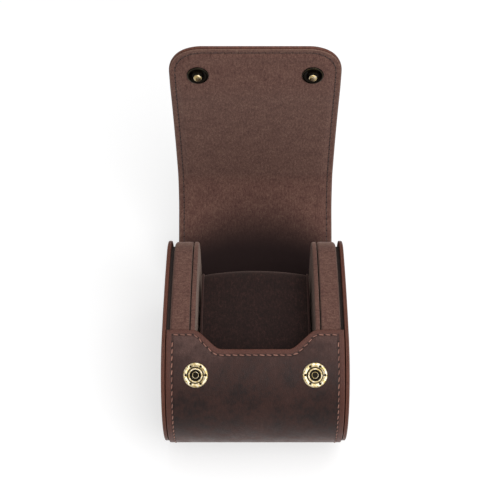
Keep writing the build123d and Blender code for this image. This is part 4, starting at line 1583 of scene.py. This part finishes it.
def stitch_mesh(name, rows, material, number):
    """One mesh from several (point, way, out_of, length, width, height) rows of stitches."""
    points, uvs, tones, faces = [], [], [], []
    one = grid_faces(STITCH_RINGS, STITCH_SIDES, closed=True)
    caps = (np.arange(STITCH_SIDES), np.arange(STITCH_POINTS)[::-1][:STITCH_SIDES])
    base = 0
    for row in rows:
        flat, out, run = stitch_shapes(*row)
        points.append(track.place(flat[..., 0], flat[..., 1], out).reshape(-1, 3))
        uvs.append(run.reshape(-1, 2))
        tones.append(np.repeat(row[0], STITCH_POINTS, 0))
        starts = base + np.arange(len(flat))[:, None] * STITCH_POINTS
        faces.append((one[None] + starts[..., None]).reshape(-1, 4)[:, ::-1])
        faces += [starts + cap for cap in caps]
        base += len(flat) * STITCH_POINTS
    maps = (np.concatenate(uvs), np.concatenate(tones))
    piece = new_mesh(name, np.concatenate(points), faces, *maps)
    piece.data.materials.append(materials[material])
    bend_at(piece, number)
    return piece


print("a stitch has", STITCH_POINTS, "points")

# %% Thread and holes of each stretch
SLANT = 0.14
HOLE_SIZE = (0.80, 0.80, 0.10)
THREADS = {"leather": ("thread", 2.6, 0.50, 0.46), "suede": ("suede_thread", 2.3, 0.55, 0.26)}


def slanted(way):
    """Directions turned a little off the seam's own, as hand stitches lie."""
    slant = way + turned_left(way) * SLANT
    return slant / np.linalg.norm(slant, axis=1, keepdims=True)


def stitching():
    """Thread and holes of each stretch, on both faces. A hole lies half a pitch behind."""
    for number, title in enumerate(STRETCHES):
        low = CUTS[number - 1] if number else 0.0
        holes = []
        for face, places in seam_rows(low, CUTS[number]).items():
            if not places:
                continue
            material, *size = THREADS[face]
            runs = [(point, slanted(way), out, *size) for point, way, out in places]
            piece = stitch_mesh(f"{face}_thread_{title}", runs, material, number)
            for point, way, out in places:
                holes.append((point - way * STITCH_PITCH / 2, way, out, *HOLE_SIZE))
        piece = stitch_mesh(f"awl_holes_{title}", holes, "hole_painted_shade", number)


stitching()

# %% [markdown]
# ## The pillow
#
# The pillow is a strip of suede sewn round two end panels and stuffed with foam. Its puckers
# come from the filling: it pushes the suede out, and the seams hold it back. They could be
# sculpted or drawn as a bump, but cloth with pressure makes them as the real one does. So it
# starts as a crowned roll with a rounded square section, and the simulation fills it while
# its two seams stay put.

# %% The pillow's rings
PILLOW_HALF = 26.3
PILLOW_DEPTH = 60.0
PILLOW_HEIGHT = 50.5
PILLOW_Y = 4.0
PILLOW_SINK = 0.5
PILLOW_GAP = 0.3
PILLOW_FLOOR = PROUD + RIM_SEAT + BOARD + SUEDE + PILLOW_GAP
PILLOW_CROWN = 1.8
PILLOW_POINTS = 96
PILLOW_ROWS = 25
ROUND_POWER = 3.6
SQUARE_POWER = 7.5
SEAM_X = 25.5
END_SHARES = np.array([0.93, 0.85, 0.7, 0.5, 0.3, 0.12])
END_BULGE = 0.35
PILLOW_MAP_SHIFT = 90.0
END_MAP_SHIFT = 300.0
PILLOW_TO_EDGE = 20.0


def pillow_outline():
    """The section |y / a|^p + |z / b|^p = 1, whose power p makes the upper back corner
    squarer than the others, as points round its middle."""
    turn = np.linspace(-np.pi / 2, 3 * np.pi / 2, PILLOW_POINTS, endpoint=False)
    c, s = np.cos(turn), np.sin(turn)
    power = np.where((c > 0) & (s > 0), SQUARE_POWER, ROUND_POWER)
    scale = (np.abs(c) ** power + np.abs(s) ** power) ** (-1 / power)
    return np.stack([c * scale * PILLOW_DEPTH / 2, s * scale * PILLOW_HEIGHT / 2], -1)


def pillow_rings():
    """The rings' x and their points round the middle. The section is drawn in by the crown
    times (x / seam)^2, and the end panels shrink to nothing as they bulge by (1 - q^2)^(1/2)
    of their share q."""
    ring = pillow_outline()
    size = np.array([PILLOW_DEPTH, PILLOW_HEIGHT]) / 2
    x = np.linspace(-SEAM_X, SEAM_X, PILLOW_ROWS)
    inset = PILLOW_CROWN * (x / SEAM_X) ** 2
    body = ring[None] * (1 - inset[:, None, None] / size)
    end = (ring * (1 - PILLOW_CROWN / size))[None] * END_SHARES[:, None, None]
    bulge = (PILLOW_HALF - SEAM_X) * np.sqrt(1 - END_SHARES**2) + END_BULGE
    at = np.concatenate([(-SEAM_X - bulge)[::-1], x, SEAM_X + bulge])
    return at, np.concatenate([end[::-1], body, end])


print("pillow:", PILLOW_DEPTH, "deep,", PILLOW_HEIGHT, "high and", 2 * PILLOW_HALF, "wide at rest")


# %% The pillow's mesh
ON_SEAM = 0.01


def pillow_mesh():
    """The closed pillow at rest as points, faces and maps, with its end panels' own map."""
    at, flat = pillow_rings()
    rows, columns = flat.shape[:2]
    middle = np.array([PILLOW_Y, PILLOW_FLOOR + PILLOW_HEIGHT / 2 - PILLOW_SINK])
    x = np.broadcast_to(at[:, None, None], (rows, columns, 1))
    points = np.concatenate([x, flat + middle], -1).reshape(-1, 3)
    points[:, 2] = np.maximum(points[:, 2], PILLOW_FLOOR)
    points = np.concatenate([points, [[at[0], *middle], [at[-1], *middle]]])
    girth = np.linspace(0, 2 * (PILLOW_DEPTH + PILLOW_HEIGHT), columns, endpoint=False)
    sheet = np.stack(np.broadcast_arrays(at[:, None] + PILLOW_MAP_SHIFT, girth[None]), -1)
    sheet = np.concatenate([sheet.reshape(-1, 2), [[0, 0], [2 * PILLOW_MAP_SHIFT, 0]]])
    first, last = np.arange(columns), (rows - 1) * columns + np.arange(columns)
    faces = [
        grid_faces(rows, columns, closed=True)[:, ::-1],
        fan_faces(rows * columns, first)[:, [0, 2, 1]],
        fan_faces(rows * columns + 1, last),
    ]
    edge = np.tile([0.0, PILLOW_TO_EDGE], (len(points), 1))
    ends = points[:, 1:] + END_MAP_SHIFT * np.sign(points[:, :1])
    return points, faces, sheet, edge, (ends, np.abs(points[:, 0]) > SEAM_X - ON_SEAM)


pillow_parts = pillow_mesh()
print("pillow at rest:", len(pillow_parts[0]), "points")

# %% The filling
FRAMES = 20
CLOTH = {
    "use_pressure": True,
    "uniform_pressure_force": 4,
    "quality": 6,
    "tension_stiffness": 8,
    "bending_stiffness": 0.3,
}


def read_points(mesh):
    """A mesh's points as an array in millimetres."""
    flat = np.zeros(len(mesh.vertices) * 3)
    mesh.vertices.foreach_get("co", flat)
    return flat.reshape(-1, 3) / MM


def inflate(piece, pinned, most):
    """Fills the piece by cloth with pressure. A move of length d becomes most * tanh(d / most),
    so that no point moves further than `most`. Returns the longest move before that."""
    held = piece.vertex_groups.new(name="seams")
    held.add(pinned.tolist(), 1.0, "REPLACE")
    before = read_points(piece.data)
    cloth = piece.modifiers.new("fill", "CLOTH")
    for name, value in CLOTH.items():
        setattr(cloth.settings, name, value)
    cloth.settings.effector_weights.gravity = 0
    cloth.settings.vertex_group_mass = "seams"
    cloth.point_cache.frame_start = 1
    cloth.point_cache.frame_end = FRAMES
    for step in range(1, FRAMES + 1):
        bpy.context.scene.frame_set(step)
    graph = bpy.context.evaluated_depsgraph_get()
    move = read_points(piece.evaluated_get(graph).data) - before
    piece.modifiers.clear()
    bpy.context.scene.frame_set(1)
    far = np.maximum(np.linalg.norm(move, axis=1, keepdims=True), 1e-9)
    points = before + move / far * (most * np.tanh(far / most))
    points[:, 2] = np.maximum(points[:, 2], PILLOW_FLOOR)
    piece.data.vertices.foreach_set("co", (points * MM).ravel())
    piece.data.update()
    return float(far.max())


print("cloth:", CLOTH)

# %% The pillow's cover
MOST_MOVE = 1.1
SEAM_ROWS = (len(END_SHARES), len(END_SHARES) + PILLOW_ROWS - 1)
SEAM_LOOPS = [row * PILLOW_POINTS + np.arange(PILLOW_POINTS) for row in SEAM_ROWS]


def pillow(points, faces, sheet, edge, end_map):
    """The pillow's cover, filled, and then smoothed by one level of subdivision."""
    piece = new_mesh("pillow_cover", points, faces, sheet, edge, slot="pillow_suede", flat=end_map)
    free_move = inflate(piece, np.concatenate(SEAM_LOOPS), MOST_MOVE)
    print("the filling alone would move a point by", round(free_move, 1))
    smooth_it = piece.modifiers.new("smooth", "SUBSURF")
    smooth_it.levels = 1
    smooth_it.render_levels = 1
    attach(piece, "pillow")
    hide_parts("pillow_wrap", "pillow_foam", "pillow_end_left", "pillow_end_right")


pillow(*pillow_parts)
print("pillow: filled")

# %% [markdown]
# A seam of two turned suedes stands up as a narrow ridge. The cover's points are too far apart
# for it, and a finer cover would make the cloth slow. So the ridge is a tube of its own, carried
# round each seam's ring.

# %% The pillow's seams
SEAM_RADIUS = 0.55
SEAM_RISE = 0.15
SEAM_SIDES = 8
SEAM_MAP_STEP = 2.2
SEAM_SINK = 0.1


def seam(title, side, ring):
    """A tube along one seam ring: ring + away (rise + r cos a) + across r sin a."""
    away = ring - ring.mean(0)
    away[:, 0] = 0
    away /= np.linalg.norm(away, axis=1, keepdims=True)
    turn = np.linspace(0, 2 * np.pi, SEAM_SIDES, endpoint=False)
    tube = (
        ring[:, None]
        + away[:, None] * (SEAM_RISE + SEAM_RADIUS * np.cos(turn))[None, :, None]
        + np.array([side, 0, 0]) * (SEAM_RADIUS * np.sin(turn))[None, :, None]
    )
    tube[..., 2] = np.maximum(tube[..., 2], PILLOW_FLOOR - SEAM_SINK)
    faces = grid_faces(len(ring), SEAM_SIDES, closed=True, ring=True)
    girth = np.arange(len(ring))[:, None] * SEAM_MAP_STEP
    sheet = np.stack(np.broadcast_arrays(girth, turn[None]), -1).reshape(-1, 2)
    new_mesh(
        f"pillow_seam_{title}", tube.reshape(-1, 3), [faces[:, ::side]], sheet,
        np.zeros_like(sheet), body="pillow", slot="pillow_suede",
    )


for (title, side), loop in zip(SIDES.items(), SEAM_LOOPS):
    seam(title, side, pillow_parts[0][loop])
print("pillow seams:", ", ".join(SIDES))

# %% [markdown]
# ## Hard pieces that stay as the CAD made them
#
# The wooden cores, the lips' boards, the stiffener and the springs are inside. They could be
# worked out again like the rest, but their solids already have the right shape, so they only
# take a material.

# %% Materials for the kept solids
KEPT = {
    "end_core": "core_wood",
    "lip_board": "board",
    "wrap_board": "board",
    "socket_spring": "spring_steel",
}
for node, obj in frame["nodes"].items():
    for start, material in KEPT.items():
        if node.startswith(start):
            obj.data.materials.clear()
            obj.data.materials.append(materials[material])
print("kept:", sorted(n for n in frame["nodes"] if n.startswith(tuple(KEPT))))

# %% [markdown]
# ## Floor, light and camera
#
# The case stands on a white table under soft light. The table could be lit alone, but then its
# white would fall to grey at the back. So the camera sees it partly self-lit. A large soft lamp
# to the right and in front throws the shadows to the left, and the sky fills them.


# %% The table
FLOOR_GLOW = 0.58
FLOOR_SEEN = 0.50
FLOOR_WHITE = 0.90
FLOOR_HALF = 3.0


def seen_rays(tree):
    """1 for rays from the camera or from a glossy surface, and 0 for the others."""
    rays = tree.nodes.new("ShaderNodeLightPath").outputs
    return maths(tree, "MAXIMUM", rays["Is Camera Ray"], rays["Is Glossy Ray"])


def floor():
    """A wide white table. The camera sees it partly self-lit, which keeps its shadows pale."""
    low, high = -FLOOR_HALF, FLOOR_HALF
    corners = [(low, low, 0), (high, low, 0), (high, high, 0), (low, high, 0)]
    mesh = bpy.data.meshes.new("table")
    mesh.from_pydata(corners, [], [(0, 1, 2, 3)])
    piece = bpy.data.objects.new("table", mesh)
    to_scene(piece)
    tree, principled = new_material("table_white")
    seen = seen_rays(tree)
    white, grey = ((level, level, level, 1) for level in (FLOOR_WHITE, FLOOR_SEEN))
    glow = {"Emission Strength": weigh(tree, seen, FLOOR_GLOW), "Emission Color": (1, 1, 1, 1)}
    glow["Specular IOR Level"] = 0.0
    shade(tree, principled, paint(tree, white, (seen, grey)), 0.9, **glow)
    mesh.materials.append(materials["table_white"])


floor()
print("table:", 2 * FLOOR_HALF, "m wide")


# %% Lamps and sky
SKY = 0.45
LAMPS = {
    "key": ((0.55, -0.80, 1.00), (0, 0.02, 0.06), 1.0, 10.5),
    "top": ((0.25, 0.00, 1.30), (0, 0.02, 0.05), 0.9, 5.5),
}


def lamp(name, place, aim, size, power):
    """A square area lamp that faces a point. Places are in metres and power in watts."""
    light = bpy.data.lights.new(name, "AREA")
    light.shape = "SQUARE"
    light.size = size
    light.energy = power
    obj = bpy.data.objects.new(name, light)
    obj.location = place
    way = np.array(aim) - np.array(place)
    flat = np.hypot(way[0], way[1])
    obj.rotation_euler = (np.arctan2(flat, -way[2]), 0, np.arctan2(-way[0], way[1]))
    to_scene(obj)


def sky(strength):
    """An even white world, which the camera and the metal see at full white."""
    world = bpy.data.worlds.new("sky")
    world.use_nodes = True
    tree = world.node_tree
    level = weigh(tree, seen_rays(tree), 1 - strength, strength)
    join(tree, tree.nodes["Background"], {"Color": (1, 1, 1, 1), "Strength": level})
    bpy.context.scene.world = world


sky(SKY)
for name, (place, aim, size, power) in LAMPS.items():
    lamp(name, place, aim, size, power)

# %% [markdown]
# The camera's place and lens were fitted to the case's outlines, so that the render can be laid
# over the photograph.

# %% The photograph's viewpoint
CAMERA_Y = -308.0
CAMERA_Z = 509.84
CAMERA_TILT = 37.51
LENS = 83.765
SHIFT_X = -0.0106
SENSOR = 36.0


def camera():
    """The photograph's viewpoint."""
    data = bpy.data.cameras.new("camera")
    data.sensor_width = SENSOR
    data.lens = LENS
    data.shift_x = SHIFT_X
    obj = bpy.data.objects.new("camera", data)
    obj.location = (0, CAMERA_Y * MM, CAMERA_Z * MM)
    obj.rotation_euler = (np.radians(CAMERA_TILT), 0, 0)
    to_scene(obj)
    bpy.context.scene.camera = obj


camera()
bpy.context.scene.view_settings.view_transform = "Standard"
print("camera:", LENS, "mm lens, tilted", CAMERA_TILT, "degrees")
